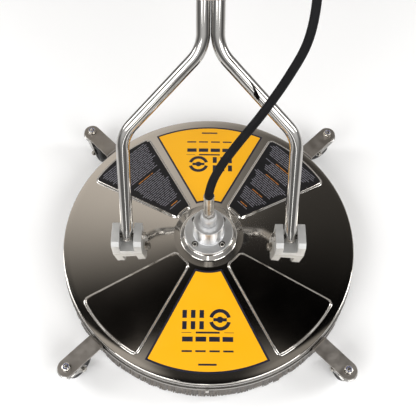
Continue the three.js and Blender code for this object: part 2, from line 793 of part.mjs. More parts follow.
function handleTube(sign) {
  const x = sign * PIVOT_X;
  const upper = [
    [x, ELBOW],
    [sign * PARALLEL_X, MEETING],
    [sign * PARALLEL_X, PARTING],
    [sign * BAR_X, BAR_START],
  ];
  const outer = new BentRun([
    [x, -TUBE_TIP - 1],
    [x, 0],
    [x, FLATTENED_LENGTH],
    ...upper,
    [sign * BAR_X, BAR_END],
  ], BEND_RADIUS, BEND_STEPS);
  const inner = new BentRun([
    [x, FLATTENED_LENGTH],
    ...upper,
    [sign * BAR_X, BAR_END + 1],
  ], BEND_RADIUS, BEND_STEPS);
  const tube = solid(flattenEnd(sweptAlong(outer, TUBE_RADIUS, 12), x));
  const bore = solid(sweptAlong(inner, TUBE_RADIUS - TUBE_WALL, 12));
  const tip = join(
    rod(TUBE_TIP, [x - 30, 0, 0], [x + 30, 0, 0]),
    block([-BAR_X - 60, 0, -40], [BAR_X + 60, BAR_END + 10, 40]),
  );
  return cut(tube.intersect(tip), bore, hole(BOLT_RADIUS, [x - 30, 0, 0], [x + 30, 0, 0]));
}

// Band welded round both tubes where they run side by side.
function tubeBand() {
  const outline = (radius) => {
    const shape = new THREE.Shape();
    shape.moveTo(-PARALLEL_X, -radius);
    shape.lineTo(PARALLEL_X, -radius);
    shape.absarc(PARALLEL_X, 0, radius, -Math.PI / 2, Math.PI / 2, false);
    shape.lineTo(-PARALLEL_X, radius);
    shape.absarc(-PARALLEL_X, 0, radius, Math.PI / 2, (3 * Math.PI) / 2, false);
    return shape;
  };
  const slab = (radius, start, end) => {
    const options = { depth: end - start, bevelEnabled: false, curveSegments: 6 };
    const geometry = new THREE.ExtrudeGeometry(outline(radius), options);
    geometry.rotateX(Math.PI / 2);
    geometry.translate(0, end, 0);
    return solid(geometry);
  };
  const start = BAND_HEIGHT - BAND_WIDTH / 2;
  const end = BAND_HEIGHT + BAND_WIDTH / 2;
  return cut(
    slab(TUBE_RADIUS + GAP + 2.5, start, end),
    slab(TUBE_RADIUS + GAP, start - 5, end + 5),
  );
}

function grip(sign) {
  const x = sign * BAR_X;
  const end = BAR_END + 4;
  return cut(
    join(
      rod(GRIP_RADIUS, [x, GRIP_START, 0], [x, end, 0], 20),
      rod(GRIP_RADIUS + 3, [x, GRIP_START, 0], [x, GRIP_START + 5, 0], 20),
    ),
    hole(TUBE_RADIUS, [x, GRIP_START - 5, 0], [x, BAR_END + GAP, 0]),
  );
}

// ---------------------------------------------------------------- trigger gun
function gunBracket() {
  const half = 21;
  const [start, end] = [948, 982];
  return cut(
    block([BAR_X - half, start, -half], [BAR_X + half, end, GUN_BASE - GAP]),
    hole(TUBE_RADIUS, [BAR_X, start - 5, 0], [BAR_X, end + 5, 0]),
  );
}

function gunBody() {
  const side = outlineOf([
    [GUN_START, GUN_BASE + 6],
    [GUN_START + 6, GUN_BASE],
    [GUN_END, GUN_BASE],
    [GUN_END, GUN_TOP - 4],
    [GUN_END - 8, GUN_TOP],
    [GUN_START + 18, GUN_TOP],
    [GUN_START, GUN_TOP - 10],
  ]);
  const left = BAR_X - GUN_WIDTH / 2;
  const right = BAR_X + GUN_WIDTH / 2;
  const slotHalf = TRIGGER_WIDTH / 2 + RUNNING_GAP;
  return cut(
    join(
      across(side, left, right),
      rod(12, [BAR_X, OUTLET_START, GUN_AXIS], [BAR_X, GUN_START + 5, GUN_AXIS], 20),
    ),
    block([BAR_X - slotHalf, TRIGGER_Y - 12, 38], [BAR_X + slotHalf, GUN_END + 5, GUN_TOP + 5]),
    hole(PIN_RADIUS, [left - 5, TRIGGER_Y, TRIGGER_Z], [right + 5, TRIGGER_Y, TRIGGER_Z], 12),
    rod(WATERWAY, [BAR_X, OUTLET_START - 5, GUN_AXIS], [BAR_X, INLET_Y, GUN_AXIS], 12),
    rod(WATERWAY, [BAR_X, INLET_Y, GUN_AXIS], [right + 5, INLET_Y, GUN_AXIS], 12),
  );
}

// Lever that the fingers pull towards the grip; it swings on the trigger pin.
function trigger() {
  const lever = new THREE.Shape();
  lever.moveTo(TRIGGER_Y, TRIGGER_Z - 7);
  lever.lineTo(TRIGGER_Y + 24, TRIGGER_Z - 1);
  lever.quadraticCurveTo(TRIGGER_Y + 64, TRIGGER_Z - 2, TRIGGER_Y + TRIGGER_REACH, TRIGGER_Z + 8);
  lever.lineTo(TRIGGER_Y + TRIGGER_REACH - 3, TRIGGER_Z + 14);
  lever.quadraticCurveTo(TRIGGER_Y + 62, TRIGGER_Z + 6, TRIGGER_Y + 22, TRIGGER_Z + 8);
  lever.lineTo(TRIGGER_Y, TRIGGER_Z + 7);
  lever.absarc(TRIGGER_Y, TRIGGER_Z, 7, Math.PI / 2, (3 * Math.PI) / 2, false);
  const half = TRIGGER_WIDTH / 2;
  return cut(
    across(lever, BAR_X - half, BAR_X + half),
    hole(PIN_RADIUS, [BAR_X - 10, TRIGGER_Y, TRIGGER_Z], [BAR_X + 10, TRIGGER_Y, TRIGGER_Z], 12),
  );
}

function gunInlet() {
  const foot = BAR_X + GUN_WIDTH / 2 + GAP;
  const at = (distance) => [foot + distance, INLET_Y, GUN_AXIS];
  return cut(
    join(
      rod(14, at(0), at(9), 6),
      rod(10.5, at(8), at(INLET_LENGTH)),
    ),
    rod(WATERWAY, at(-5), at(INLET_LENGTH + 5), 12),
  );
}

function upperFerrule() {
  const end = OUTLET_START - GAP;
  const at = (y) => [BAR_X, y, GUN_AXIS];
  return cut(
    join(
      rod(FERRULE_RADIUS, at(UPPER_FERRULE_START + GAP), at(end - 18)),
      rod(14, at(end - 19), at(end), 6),
    ),
    rod(WATERWAY, at(UPPER_FERRULE_START - 5), at(end + 5), 12),
  );
}

function makeHandle() {
  const handle = new THREE.Group();
  handle.position.set(0, PIVOT_Y, RIM_HEIGHT + PIVOT_HEIGHT);
  handle.rotation.x = THREE.MathUtils.degToRad(HANDLE_LEAN);
  const pin = rod(
    PIN_RADIUS,
    [BAR_X - GUN_WIDTH / 2 - 1, TRIGGER_Y, TRIGGER_Z],
    [BAR_X + GUN_WIDTH / 2 + 1, TRIGGER_Y, TRIGGER_Z],
    12,
  );
  handle.add(
    piece("handle_tube_left", handleTube(-1), "polished"),
    piece("handle_tube_right", handleTube(1), "polished"),
    piece("tube_band", tubeBand(), "brushed"),
    piece("grip_left", grip(-1), "rubber"),
    piece("grip_right", grip(1), "rubber"),
    piece("gun_bracket", gunBracket(), "aluminium"),
    piece("gun_body", gunBody(), "plastic"),
    piece("gun_trigger", trigger(), "plastic"),
    piece("trigger_pin", pin, "zinc"),
    piece("gun_inlet", gunInlet(), "brass"),
    piece("upper_ferrule", upperFerrule(), "zinc"),
  );
  return handle;
}

// ---------------------------------------------------------------- hose
// The hose's route above the rim plane, from the swivel to just below the gun. It rises
// out of the swivel, leans to the right and passes in front of the right handle tube.
const HOSE_ROUTE = [
  [0, 0, 233],
  [0, 0, 245],
  [8, 20, 265],
  [28, 42, 300],
  [61, 71, 339],
  [116, 115, 400],
  [168, 165, 464],
  [203, 210, 518],
  [217, 262, 577],
  [214, 325, 643],
];
const HOSE_LEAD_IN = 30; // straight stretch below the gun

function makeHose(handle) {
  handle.updateMatrixWorld(true);
  const route = HOSE_ROUTE.map(([x, y, z]) => new THREE.Vector3(x, y, RIM_HEIGHT + z));
  for (const distance of [HOSE_LEAD_IN, 0]) {
    const place = new THREE.Vector3(BAR_X, UPPER_FERRULE_START - distance, GUN_AXIS);
    route.push(handle.localToWorld(place));
  }
  const curve = new THREE.CatmullRomCurve3(route);
  const geometry = new THREE.ExtrudeGeometry(circle(HOSE_RADIUS), {
    steps: 26,
    curveSegments: 4,
    extrudePath: curve,
  });
  return piece("hose", solid(geometry), "rubber");
}

// ---------------------------------------------------------------- the machine
const machine = new THREE.Group();
machine.add(...makeDeck(), ...makeBrush(), ...makeSwivel(), ...makeRotor());
for (const caster of CASTERS) machine.add(...makeCaster(caster));

const deckShape = deckBody(-GAP, RIM_HEIGHT - SKIRT_DEPTH, [
  [DECK_RADIUS + GAP, RIM_HEIGHT - SKIRT_DEPTH],
]);
for (const [side, sign] of [["left", -1], ["right", 1]]) {
  machine.add(...makeClevis(side, sign, deckShape));
}
const handle = makeHandle();
machine.add(handle, makeHose(handle));

// Centre the machine's box over the origin from front to back.
machine.updateMatrixWorld(true);
const box = new THREE.Box3().setFromObject(machine, true);
machine.position.y = -(box.min.y + box.max.y) / 2;

export default machine;
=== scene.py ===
import json
import math
import random

import bmesh
import bpy
import numpy as np
from mathutils import Matrix, Vector


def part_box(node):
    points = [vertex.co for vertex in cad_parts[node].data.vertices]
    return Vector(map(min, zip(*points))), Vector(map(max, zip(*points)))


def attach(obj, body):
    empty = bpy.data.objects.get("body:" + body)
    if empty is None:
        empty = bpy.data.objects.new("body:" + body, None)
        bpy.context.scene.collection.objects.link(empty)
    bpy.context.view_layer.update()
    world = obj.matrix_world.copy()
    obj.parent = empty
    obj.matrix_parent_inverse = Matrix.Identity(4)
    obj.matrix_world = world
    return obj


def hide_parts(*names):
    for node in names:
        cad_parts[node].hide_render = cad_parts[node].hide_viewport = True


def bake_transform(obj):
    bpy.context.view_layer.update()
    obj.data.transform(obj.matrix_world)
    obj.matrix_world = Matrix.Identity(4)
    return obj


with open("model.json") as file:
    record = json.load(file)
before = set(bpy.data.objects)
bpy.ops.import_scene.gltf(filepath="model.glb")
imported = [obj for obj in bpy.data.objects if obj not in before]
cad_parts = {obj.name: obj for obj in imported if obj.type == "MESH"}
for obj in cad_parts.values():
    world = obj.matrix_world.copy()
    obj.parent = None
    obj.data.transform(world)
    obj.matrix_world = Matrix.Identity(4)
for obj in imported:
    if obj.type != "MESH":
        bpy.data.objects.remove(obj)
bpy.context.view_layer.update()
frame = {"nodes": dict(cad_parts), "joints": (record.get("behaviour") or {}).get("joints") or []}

MM = 0.001
JOINTS = {joint["name"]: joint for joint in frame["joints"]}

# ------------------------------------------------------------------ local frames
# The deck's frame has its origin on the hub's axis in the plane of the rim; the handle's
# frame has its origin on the pivot, Y up along the tubes and Z out of the handle's front.
# Both are drawn in millimetres.
HUB = Vector(JOINTS["rotor_spin"]["pos_m"])
PIVOT = Vector(JOINTS["handle_tilt"]["pos_m"])
HANDLE_LEAN = math.radians(55)
ON_DECK = Matrix.Translation(HUB)
ON_HANDLE = Matrix.Translation(PIVOT) @ Matrix.Rotation(HANDLE_LEAN, 4, "X")
ALONG_X = Matrix.Rotation(math.pi / 2, 4, "Y")
ALONG_Y = Matrix.Rotation(-math.pi / 2, 4, "X")
OVER = Matrix.Rotation(math.pi, 4, "X")  # turned upside down
PIVOT_Y = (PIVOT.y - HUB.y) / MM
PIVOT_HEIGHT = (PIVOT.z - HUB.z) / MM
FLOOR = -HUB.z / MM


def width_of(node):
    low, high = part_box(node)
    return (high.x - low.x) / MM


# ------------------------------------------------------------------ camera
CAMERA_PLACE = Vector((-0.0003, -0.8943, 1.6992))
CAMERA_DOWN = math.radians(61.8)
CAMERA_YAW = math.radians(0.14)
CAMERA_ROLL = math.radians(0.43)
CAMERA_LENS = 58.43


def make_camera():
    data = bpy.data.cameras.new("camera")
    data.lens = CAMERA_LENS
    data.sensor_width = 36
    camera = bpy.data.objects.new("camera", data)
    bpy.context.scene.collection.objects.link(camera)
    aim = Matrix.Rotation(CAMERA_YAW, 4, "Z")
    aim = aim @ Matrix.Rotation(math.pi / 2 - CAMERA_DOWN, 4, "X")
    aim = aim @ Matrix.Rotation(CAMERA_ROLL, 4, "Z")
    camera.matrix_world = Matrix.Translation(CAMERA_PLACE) @ aim
    bpy.context.scene.camera = camera


make_camera()


# ------------------------------------------------------------------ materials
def nodes_of(name):
    made = bpy.data.materials.new(name)
    made.use_nodes = True
    tree = made.node_tree
    return made, tree, tree.nodes["Principled BSDF"]


def texture_space(tree, stretch):
    place = tree.nodes.new("ShaderNodeTexCoord")
    mapping = tree.nodes.new("ShaderNodeMapping")
    mapping.inputs["Scale"].default_value = stretch
    tree.links.new(place.outputs["Object"], mapping.inputs["Vector"])
    return mapping.outputs["Vector"]


def noise(tree, scale, detail=3.0, stretch=(1, 1, 1)):
    node = tree.nodes.new("ShaderNodeTexNoise")
    node.inputs["Scale"].default_value = scale
    node.inputs["Detail"].default_value = detail
    tree.links.new(texture_space(tree, stretch), node.inputs["Vector"])
    return node.outputs["Fac"]


def remap(tree, value, low, high, start=0.3, end=0.7):
    node = tree.nodes.new("ShaderNodeMapRange")
    node.inputs["From Min"].default_value = start
    node.inputs["From Max"].default_value = end
    node.inputs["To Min"].default_value = low
    node.inputs["To Max"].default_value = high
    tree.links.new(value, node.inputs["Value"])
    return node.outputs["Result"]


def blend_colours(tree, value, first, second):
    node = tree.nodes.new("ShaderNodeMix")
    node.data_type = "RGBA"
    node.inputs["A"].default_value = (*first, 1)
    node.inputs["B"].default_value = (*second, 1)
    tree.links.new(value, node.inputs["Factor"])
    return node.outputs["Result"]


def add_bump(tree, shader, value, strength, distance):
    node = tree.nodes.new("ShaderNodeBump")
    node.inputs["Strength"].default_value = strength
    node.inputs["Distance"].default_value = distance
    tree.links.new(value, node.inputs["Height"])
    tree.links.new(node.outputs["Normal"], shader.inputs["Normal"])
    return node


MATERIALS = {}
EVEN = (1, 1, 1)
ALONG_GRAIN = (0.03, 1, 1)


def add_finish(name, light, dark, metal, rough, patch=6.0, grain=(400, EVEN), bump=0.1,
               depth=0.0002, sheen=0.0, gloss=0.5):
    """A surface whose colour and roughness drift in patches, with a fine grain in relief.
    light and dark are its two colours, rough its two roughnesses, grain (scale, stretch)."""
    made, tree, shader = nodes_of(name)
    drift = remap(tree, noise(tree, patch), 0, 1)
    tree.links.new(blend_colours(tree, drift, light, dark), shader.inputs["Base Color"])
    shader.inputs["Metallic"].default_value = metal
    shader.inputs["Specular IOR Level"].default_value = gloss
    scale, stretch = grain
    fine = noise(tree, scale, 2.0, stretch)
    mix = tree.nodes.new("ShaderNodeMath")
    mix.operation = "MULTIPLY_ADD"
    mix.inputs[1].default_value = 0.4
    tree.links.new(fine, mix.inputs[0])
    tree.links.new(noise(tree, patch * 2.3), mix.inputs[2])
    tree.links.new(remap(tree, mix.outputs[0], *rough, 0.5, 0.95), shader.inputs["Roughness"])
    shader.inputs["Sheen Weight"].default_value = sheen
    add_bump(tree, shader, fine, bump, depth)
    MATERIALS[name] = made


add_finish("deck_steel", (0.66, 0.63, 0.59), (0.60, 0.57, 0.53), 1,
           (0.045, 0.11), 3.0, (700, ALONG_GRAIN), 0.012, 0.00005)
# Painted dark reflection: a darker copy of the deck steel for the two front panels.
add_finish("front_panel_painted_reflection", (0.36, 0.335, 0.31), (0.28, 0.26, 0.24), 1,
           (0.06, 0.13), 3.0, (700, ALONG_GRAIN), 0.012, 0.00005)
add_finish("rim_steel", (0.40, 0.38, 0.355), (0.30, 0.285, 0.265), 1,
           (0.2, 0.36), 9.0, (600, ALONG_GRAIN), 0.05, 0.0001)
# Painted shade: a dark copy of the metal for the rim's grooves, the screws' counterbores and
# sockets, and the pivot bolts' shanks.
add_finish("painted_shade_metal", (0.10, 0.094, 0.085), (0.05, 0.046, 0.042), 1,
           (0.35, 0.5), 9.0, (600, ALONG_GRAIN), 0.05, 0.0001)
add_finish("tube_steel", (0.50, 0.488, 0.468), (0.42, 0.408, 0.39), 1,
           (0.03, 0.06), 9.0, (900, (1, 1, 0.05)), 0.03, 0.0001)
add_finish("strap_steel", (0.42, 0.39, 0.36), (0.30, 0.275, 0.25), 1,
           (0.34, 0.5), 22.0, (500, (1, 0.25, 1)), 0.2, 0.0002)
add_finish("strip_steel", (0.6, 0.58, 0.55), (0.5, 0.48, 0.45), 1,
           (0.25, 0.4), 14.0, (600, (1, 1, 0.1)), 0.15)
add_finish("cast_aluminium", (0.71, 0.712, 0.715), (0.65, 0.652, 0.655), 1,
           (0.34, 0.46), 30.0, (1500, (1, 1, 0.06)), 0.10, 0.0001)
add_finish("machined_aluminium", (0.70, 0.70, 0.69), (0.62, 0.62, 0.61), 1,
           (0.52, 0.64), 28.0, (1100, (1, 0.03, 0.03)), 0.2, 0.0001)
add_finish("hardware", (0.72, 0.70, 0.66), (0.5, 0.47, 0.43), 1,
           (0.14, 0.3), 60.0, (900, EVEN), 0.08)
add_finish("shaft_steel", (0.6, 0.59, 0.57), (0.48, 0.46, 0.44), 1,
           (0.22, 0.36), 25.0, (800, (1, 1, 0.05)), 0.12)
add_finish("fork_steel", (0.50, 0.49, 0.47), (0.34, 0.33, 0.31), 1,
           (0.18, 0.34), 40.0, (600, EVEN), 0.08)
add_finish("ferrule_steel", (0.56, 0.545, 0.51), (0.32, 0.305, 0.28), 1,
           (0.26, 0.42), 45.0, (500, (1, 1, 0.04)), 0.2, 0.0002)
add_finish("brass", (0.72, 0.52, 0.22), (0.55, 0.38, 0.15), 1,
           (0.2, 0.36), 50.0)
add_finish("bristle", (0.13, 0.113, 0.097), (0.045, 0.039, 0.034), 0,
           (0.55, 0.8), 160.0, (900, (1, 1, 0.1)), 0.4, 0.0004, sheen=0.2)
add_finish("bristle_tip", (0.20, 0.178, 0.155), (0.10, 0.088, 0.075), 0,
           (0.55, 0.8), 120.0, (900, (1, 1, 0.1)), 0.3, 0.0003)
add_finish("seal_rubber", (0.02, 0.02, 0.02), (0.03, 0.03, 0.03), 0,
           (0.5, 0.7))
add_finish("grip_rubber", (0.022, 0.022, 0.023), (0.035, 0.034, 0.034), 0,
           (0.55, 0.78), 30.0, (1400, EVEN), 0.35, 0.0002)
add_finish("hose_rubber", (0.006, 0.006, 0.007), (0.010, 0.010, 0.011), 0,
           (0.5, 0.7), 18.0, (900, EVEN), 0.35, 0.0002, gloss=0.1)
add_finish("wheel_tread", (0.02, 0.02, 0.022), (0.05, 0.048, 0.045), 0,
           (0.38, 0.6), 35.0, (600, EVEN), 0.2, 0.0002)
add_finish("gun_plastic", (0.025, 0.025, 0.027), (0.035, 0.035, 0.037), 0,
           (0.36, 0.5), 30.0, (1800, EVEN), 0.3, 0.0001)
add_finish("nut_nylon", (0.02, 0.035, 0.16), (0.03, 0.05, 0.2), 0,
           (0.3, 0.45))
add_finish("label_yellow", (0.92, 0.45, 0.006), (0.90, 0.43, 0.005), 0,
           (0.3, 0.4), 7.0, (300, EVEN), 0.03, 0.0001)
add_finish("label_navy", (0.010, 0.011, 0.024), (0.014, 0.015, 0.030), 0,
           (0.28, 0.4), 9.0, (300, EVEN), 0.03, 0.0001)
add_finish("label_black", (0.009, 0.009, 0.010), (0.014, 0.013, 0.014), 0,
           (0.30, 0.45), 9.0, (300, EVEN), 0.03, 0.0001, gloss=0.2)
add_finish("print_grey", (0.23, 0.225, 0.26), (0.17, 0.165, 0.19), 0,
           (0.4, 0.5))
add_finish("print_orange", (0.62, 0.22, 0.01), (0.55, 0.18, 0.01), 0,
           (0.4, 0.5))


# ------------------------------------------------------------------ shells
class Shell:
    """Points, in millimetres, and the faces between them."""

    def __init__(self, points, faces):
        self.points = [Vector(point) for point in points]
        self.faces = [list(face) for face in faces]

    def moved(self, matrix):
        return Shell([matrix @ point for point in self.points], self.faces)

    def shifted(self, x, y, z):
        return self.moved(Matrix.Translation((x, y, z)))


def join(*shells):
    points, faces = [], []
    for shell in shells:
        start = len(points)
        points += shell.points
        faces += [[start + corner for corner in face] for face in shell.faces]
    return Shell(points, faces)


def soften(points, radius, closed=False, steps=4):
    """The same line with its corners rounded. A point's third value is its own radius."""
    made = []
    count = len(points)
    for index, point in enumerate(points):
        corner = Vector(point[:2])
        own = point[2] if len(point) > 2 else radius
        if own <= 0 or (not closed and index in (0, count - 1)):
            made.append(corner)
            continue
        before = Vector(points[index - 1][:2]) - corner
        after = Vector(points[(index + 1) % count][:2]) - corner
        half = before.angle(after) / 2
        if half > math.pi / 2 - 0.01:
            made.append(corner)
            continue
        reach = min(own / math.tan(half), 0.48 * before.length, 0.48 * after.length)
        start = corner + before.normalized() * reach
        end = corner + after.normalized() * reach
        middle = (before.normalized() + after.normalized()).normalized()
        centre = corner + middle * (reach / math.cos(half))
        first = start - centre
        turn = (end - centre).angle_signed(first)
        for step in range(steps + 1):
            made.append(centre + Matrix.Rotation(turn * step / steps, 2) @ first)
    return [(point.x, point.y) for point in made]


def turned(profile, sides, shape=None):
    """Solid of revolution about Z from (radius, height) points. A profile that starts off
    the axis is closed into a ring. shape(angle, radius, height) may change a ring's points,
    as a hexagon does."""
    points, rings = [], []
    for radius, height in profile:
        ring = []
        for side in range(1 if radius < 1e-6 else sides):
            angle = 2 * math.pi * side / sides
            own_radius, own_height = radius, height
            if shape:
                own_radius, own_height = shape(angle, radius, height)
            ring.append(len(points))
            points.append((own_radius * math.cos(angle), own_radius * math.sin(angle),
                           own_height))
        rings.append(ring)
    pairs = list(zip(rings, rings[1:]))
    if profile[0][0] > 0:
        pairs.append((rings[-1], rings[0]))
    faces = []
    for low, high in pairs:
        if len(low) == 1 and len(high) == 1:
            continue
        for side in range(sides):
            ahead = (side + 1) % sides
            if len(low) == 1:
                faces.append([low[0], high[ahead], high[side]])
            elif len(high) == 1:
                faces.append([low[side], low[ahead], high[0]])
            else:
                faces.append([low[side], low[ahead], high[ahead], high[side]])
    return Shell(points, faces)


def lathe(profile, sides, steps, radius=0):
    """Solid of revolution whose profile has its corners rounded."""
    return turned(soften(profile, radius, profile[0][0] > 0, steps), sides)


def hexagon(across_flats, foot, top, bore=0.0):
    """Hexagon bar with the round chamfer of a nut at its top."""
    apothem = across_flats / 2
    flat_radius = 0.95 * apothem

    def shape(angle, radius, height):
        if radius <= flat_radius:
            return radius, height
        corner = apothem / math.cos((angle + math.pi / 6) % (math.pi / 3) - math.pi / 6)
        drop = (corner - flat_radius) * math.tan(math.radians(30))
        return corner, height - drop if height >= top else height

    profile = [(bore, foot), (apothem, foot), (apothem, top), (flat_radius, top), (bore, top)]
    return turned(profile, 72, shape)


def prism(outline, low, high, axes="xyz"):
    """Flat outline raised between two heights; axes names the outline's two directions
    and the direction it is raised in."""
    order = ["xyz".index(axis) for axis in axes]
    points = []
    for height in (low, high):
        for u, v in outline:
            point = [0.0, 0.0, 0.0]
            for axis, value in zip(order, (u, v, height)):
                point[axis] = value
            points.append(point)
    count = len(outline)
    faces = [list(range(count))[::-1], list(range(count, 2 * count))]
    for corner in range(count):
        ahead = (corner + 1) % count
        faces.append([corner, ahead, count + ahead, count + corner])
    return Shell(points, faces)


def block(low, high):
    outline = [(low[0], low[1]), (high[0], low[1]), (high[0], high[1]), (low[0], high[1])]
    return prism(outline, low[2], high[2])


def net(rows, close_rows=False, close_columns=False):
    """Quads between rows of points."""
    height, width = rows.shape[:2]
    faces = []
    for i in range(height if close_rows else height - 1):
        for j in range(width if close_columns else width - 1):
            ahead, aside = (i + 1) % height, (j + 1) % width
            faces.append([i * width + j, i * width + aside, ahead * width + aside,
                          ahead * width + j])
    return Shell(rows.reshape(-1, 3), faces)


def film(rows, thickness):
    """A thin closed sheet whose upper side is a net of points."""
    under = rows.copy()
    under[..., 2] -= thickness
    top, bottom = net(rows), net(under)
    height, width = rows.shape[:2]
    rim = list(range(width))
    rim += [i * width + width - 1 for i in range(1, height)]
    rim += [(height - 1) * width + j for j in range(width - 2, -1, -1)]
    rim += [i * width for i in range(height - 2, 0, -1)]
    start = height * width
    faces = top.faces + [[start + corner for corner in face[::-1]] for face in bottom.faces]
    for here, ahead in zip(rim, rim[1:] + rim[:1]):
        faces.append([ahead, here, start + here, start + ahead])
    return Shell(top.points + bottom.points, faces)


def temporary(shell):
    mesh = bpy.data.meshes.new("temporary")
    mesh.from_pydata(shell.points, [], shell.faces)
    tidy_normals(mesh)
    made = bpy.data.objects.new("temporary", mesh)
    bpy.context.scene.collection.objects.link(made)
    return made


def tidy_normals(mesh):
    tool = bmesh.new()
    tool.from_mesh(mesh)
    bmesh.ops.remove_doubles(tool, verts=tool.verts, dist=1e-5)
    bmesh.ops.recalc_face_normals(tool, faces=tool.faces)
    tool.to_mesh(mesh)
    tool.free()


def carved(shell, *cutters):
    """The shell with the cutters' shapes taken out of it."""
    target = temporary(shell)
    tools = [temporary(cutter) for cutter in cutters]
    for tool in tools:
        modifier = target.modifiers.new("cut", "BOOLEAN")
        modifier.operation = "DIFFERENCE"
        modifier.solver = "EXACT"
        modifier.object = tool
    graph = bpy.context.evaluated_depsgraph_get()
    mesh = bpy.data.meshes.new_from_object(target.evaluated_get(graph))
    made = Shell([vertex.co for vertex in mesh.vertices],
                 [list(face.vertices) for face in mesh.polygons])
    for used in [target, *tools]:
        bpy.data.objects.remove(used)
    return made


SMOOTH_ANGLE = math.radians(34)
BEVEL_ANGLE = math.radians(50)
BEVEL_STEPS = 2


def keep_faces_flat(mesh):
    """Corner normals weighted by area, so that only the narrow bevels turn the light."""
    around = {}
    for face in mesh.polygons:
        for corner in face.loop_indices:
            around.setdefault(mesh.loops[corner].vertex_index, []).append((corner, face))
    normals = [None] * len(mesh.loops)
    for corners in around.values():
        for corner, face in corners:
            total = Vector()
            for _, other in corners:
                if other.normal.angle(face.normal, 0) < BEVEL_ANGLE:
                    total += other.normal * other.area
            normals[corner] = total.normalized() if total.length else face.normal
    mesh.normals_split_custom_set(normals)


def piece(name, parts, stands_for=None, place=ON_DECK, body="chassis", bevel=0.0):
    """A finished piece. parts are (shell, material name) pairs in millimetres, and
    stands_for is the CAD node that it takes the place of."""
    mesh = bpy.data.meshes.new(name)
    whole = join(*[shell for shell, _ in parts])
    scaled = place @ Matrix.Scale(MM, 4)
    mesh.from_pydata([scaled @ point for point in whole.points], [], whole.faces)
    face_materials = []
    for shell, material in parts:
        if MATERIALS[material].name not in mesh.materials:
            mesh.materials.append(MATERIALS[material])
        index = mesh.materials.find(MATERIALS[material].name)
        face_materials += [index] * len(shell.faces)
    mesh.polygons.foreach_set("material_index", face_materials)
    tool = bmesh.new()
    tool.from_mesh(mesh)
    bmesh.ops.remove_doubles(tool, verts=tool.verts, dist=1e-6)
    bmesh.ops.recalc_face_normals(tool, faces=tool.faces)
    if bevel:
        edges = [edge for edge in tool.edges
                 if edge.is_manifold and edge.calc_face_angle(0) > SMOOTH_ANGLE]
        bmesh.ops.bevel(tool, geom=edges, offset=bevel * MM, segments=BEVEL_STEPS,
                        profile=0.5, affect="EDGES", clamp_overlap=True)
    tool.to_mesh(mesh)
    tool.free()
    mesh.shade_smooth()
    if bevel:
        keep_faces_flat(mesh)
    else:
        mesh.set_sharp_from_angle(angle=SMOOTH_ANGLE)
    made = bpy.data.objects.new(name, mesh)
    bpy.context.scene.collection.objects.link(made)
    if body:
        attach(made, body)
    if stands_for:
        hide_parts(stands_for)
    return made


# ------------------------------------------------------------------ hose
# The same points as the CAD route: above the rim, then along the handle to the gun.
HOSE_ROUTE = [
    (0, 0, 233), (0, 0, 245), (8, 20, 265), (28, 42, 300), (61, 71, 339), (116, 115, 400),
    (168, 165, 464), (203, 210, 518), (217, 262, 577), (214, 325, 643),
]
HOSE_END = [(200, 770, 44), (200, 800, 44)]
HOSE_RADIUS = 10.25
HOSE_STEPS = 12  # between two points of the route
HOSE_TUCK = 6  # how far each end runs into its ferrule


def centripetal(points, steps):
    """Smooth curve through the points, as three.js draws a Catmull-Rom curve."""
    points = [np.array(point, float) for point in points]
    ends = [2 * points[0] - points[1], *points, 2 * points[-1] - points[-2]]
    line = []
    for before, start, end, after in zip(ends, ends[1:], ends[2:], ends[3:]):
        spans = [max(np.linalg.norm(b - a), 1e-9) ** 0.5
                 for a, b in ((before, start), (start, end), (end, after))]
        leave = ((start - before) / spans[0] - (end - before) / (spans[0] + spans[1])
                 + (end - start) / spans[1]) * spans[1]
        arrive = ((end - start) / spans[1] - (after - start) / (spans[1] + spans[2])
                  + (after - end) / spans[2]) * spans[1]
        for step in range(steps):
            t = step / steps
            line.append(
                start + leave * t + (3 * (end - start) - 2 * leave - arrive) * t * t
                + (2 * (start - end) + leave + arrive) * t ** 3)
    return [*line, points[-1]]


def swept(path, section):
    """Closed bar along a path; section(index) gives its outline as (side, up) pairs."""
    path = [Vector(point) for point in path]
    tangents = []
    for index in range(len(path)):
        ahead = path[min(index + 1, len(path) - 1)]
        tangents.append((ahead - path[max(index - 1, 0)]).normalized())
    side = tangents[0].orthogonal().normalized()
    if abs(tangents[0].z) < 0.5:
        side = tangents[0].cross(Vector((0, 0, 1))).normalized()
    points, rings = [], []
    for index, (place, tangent) in enumerate(zip(path, tangents)):
        side = (side - tangent * side.dot(tangent)).normalized()
        up = side.cross(tangent)
        ring = []
        for across, rise in section(index):
            ring.append(len(points))
            points.append(place + side * across + up * rise)
        rings.append(ring)
    faces = []
    for low, high in zip(rings, rings[1:]):
        for corner in range(len(low)):
            ahead = (corner + 1) % len(low)
            faces.append([low[corner], low[ahead], high[ahead], high[corner]])
    faces += [rings[0][::-1], rings[-1]]
    return Shell(points, faces)


def round_bar(path, radius, sides):
    angles = [2 * math.pi * side / sides for side in range(sides)]
    outline = [(radius * math.cos(angle), radius * math.sin(angle)) for angle in angles]
    return swept(path, lambda index: outline)


def make_hose():
    route = [HUB / MM + Vector(point) for point in HOSE_ROUTE]
    route += [(ON_HANDLE @ (Vector(point) * MM)) / MM for point in HOSE_END]
    line = [Vector(point) for point in centripetal(route, HOSE_STEPS)]
    along_handle = (line[-1] - line[-2]).normalized()
    tucked = [line[0] - Vector((0, 0, HOSE_TUCK)), *line, line[-1] + along_handle * HOSE_TUCK]
    shell = round_bar(tucked, HOSE_RADIUS, 40)
    hose = piece("hose_skin", [(shell, "hose_rubber")], "hose", Matrix.Identity(4), None)
    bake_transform(hose)


make_hose()


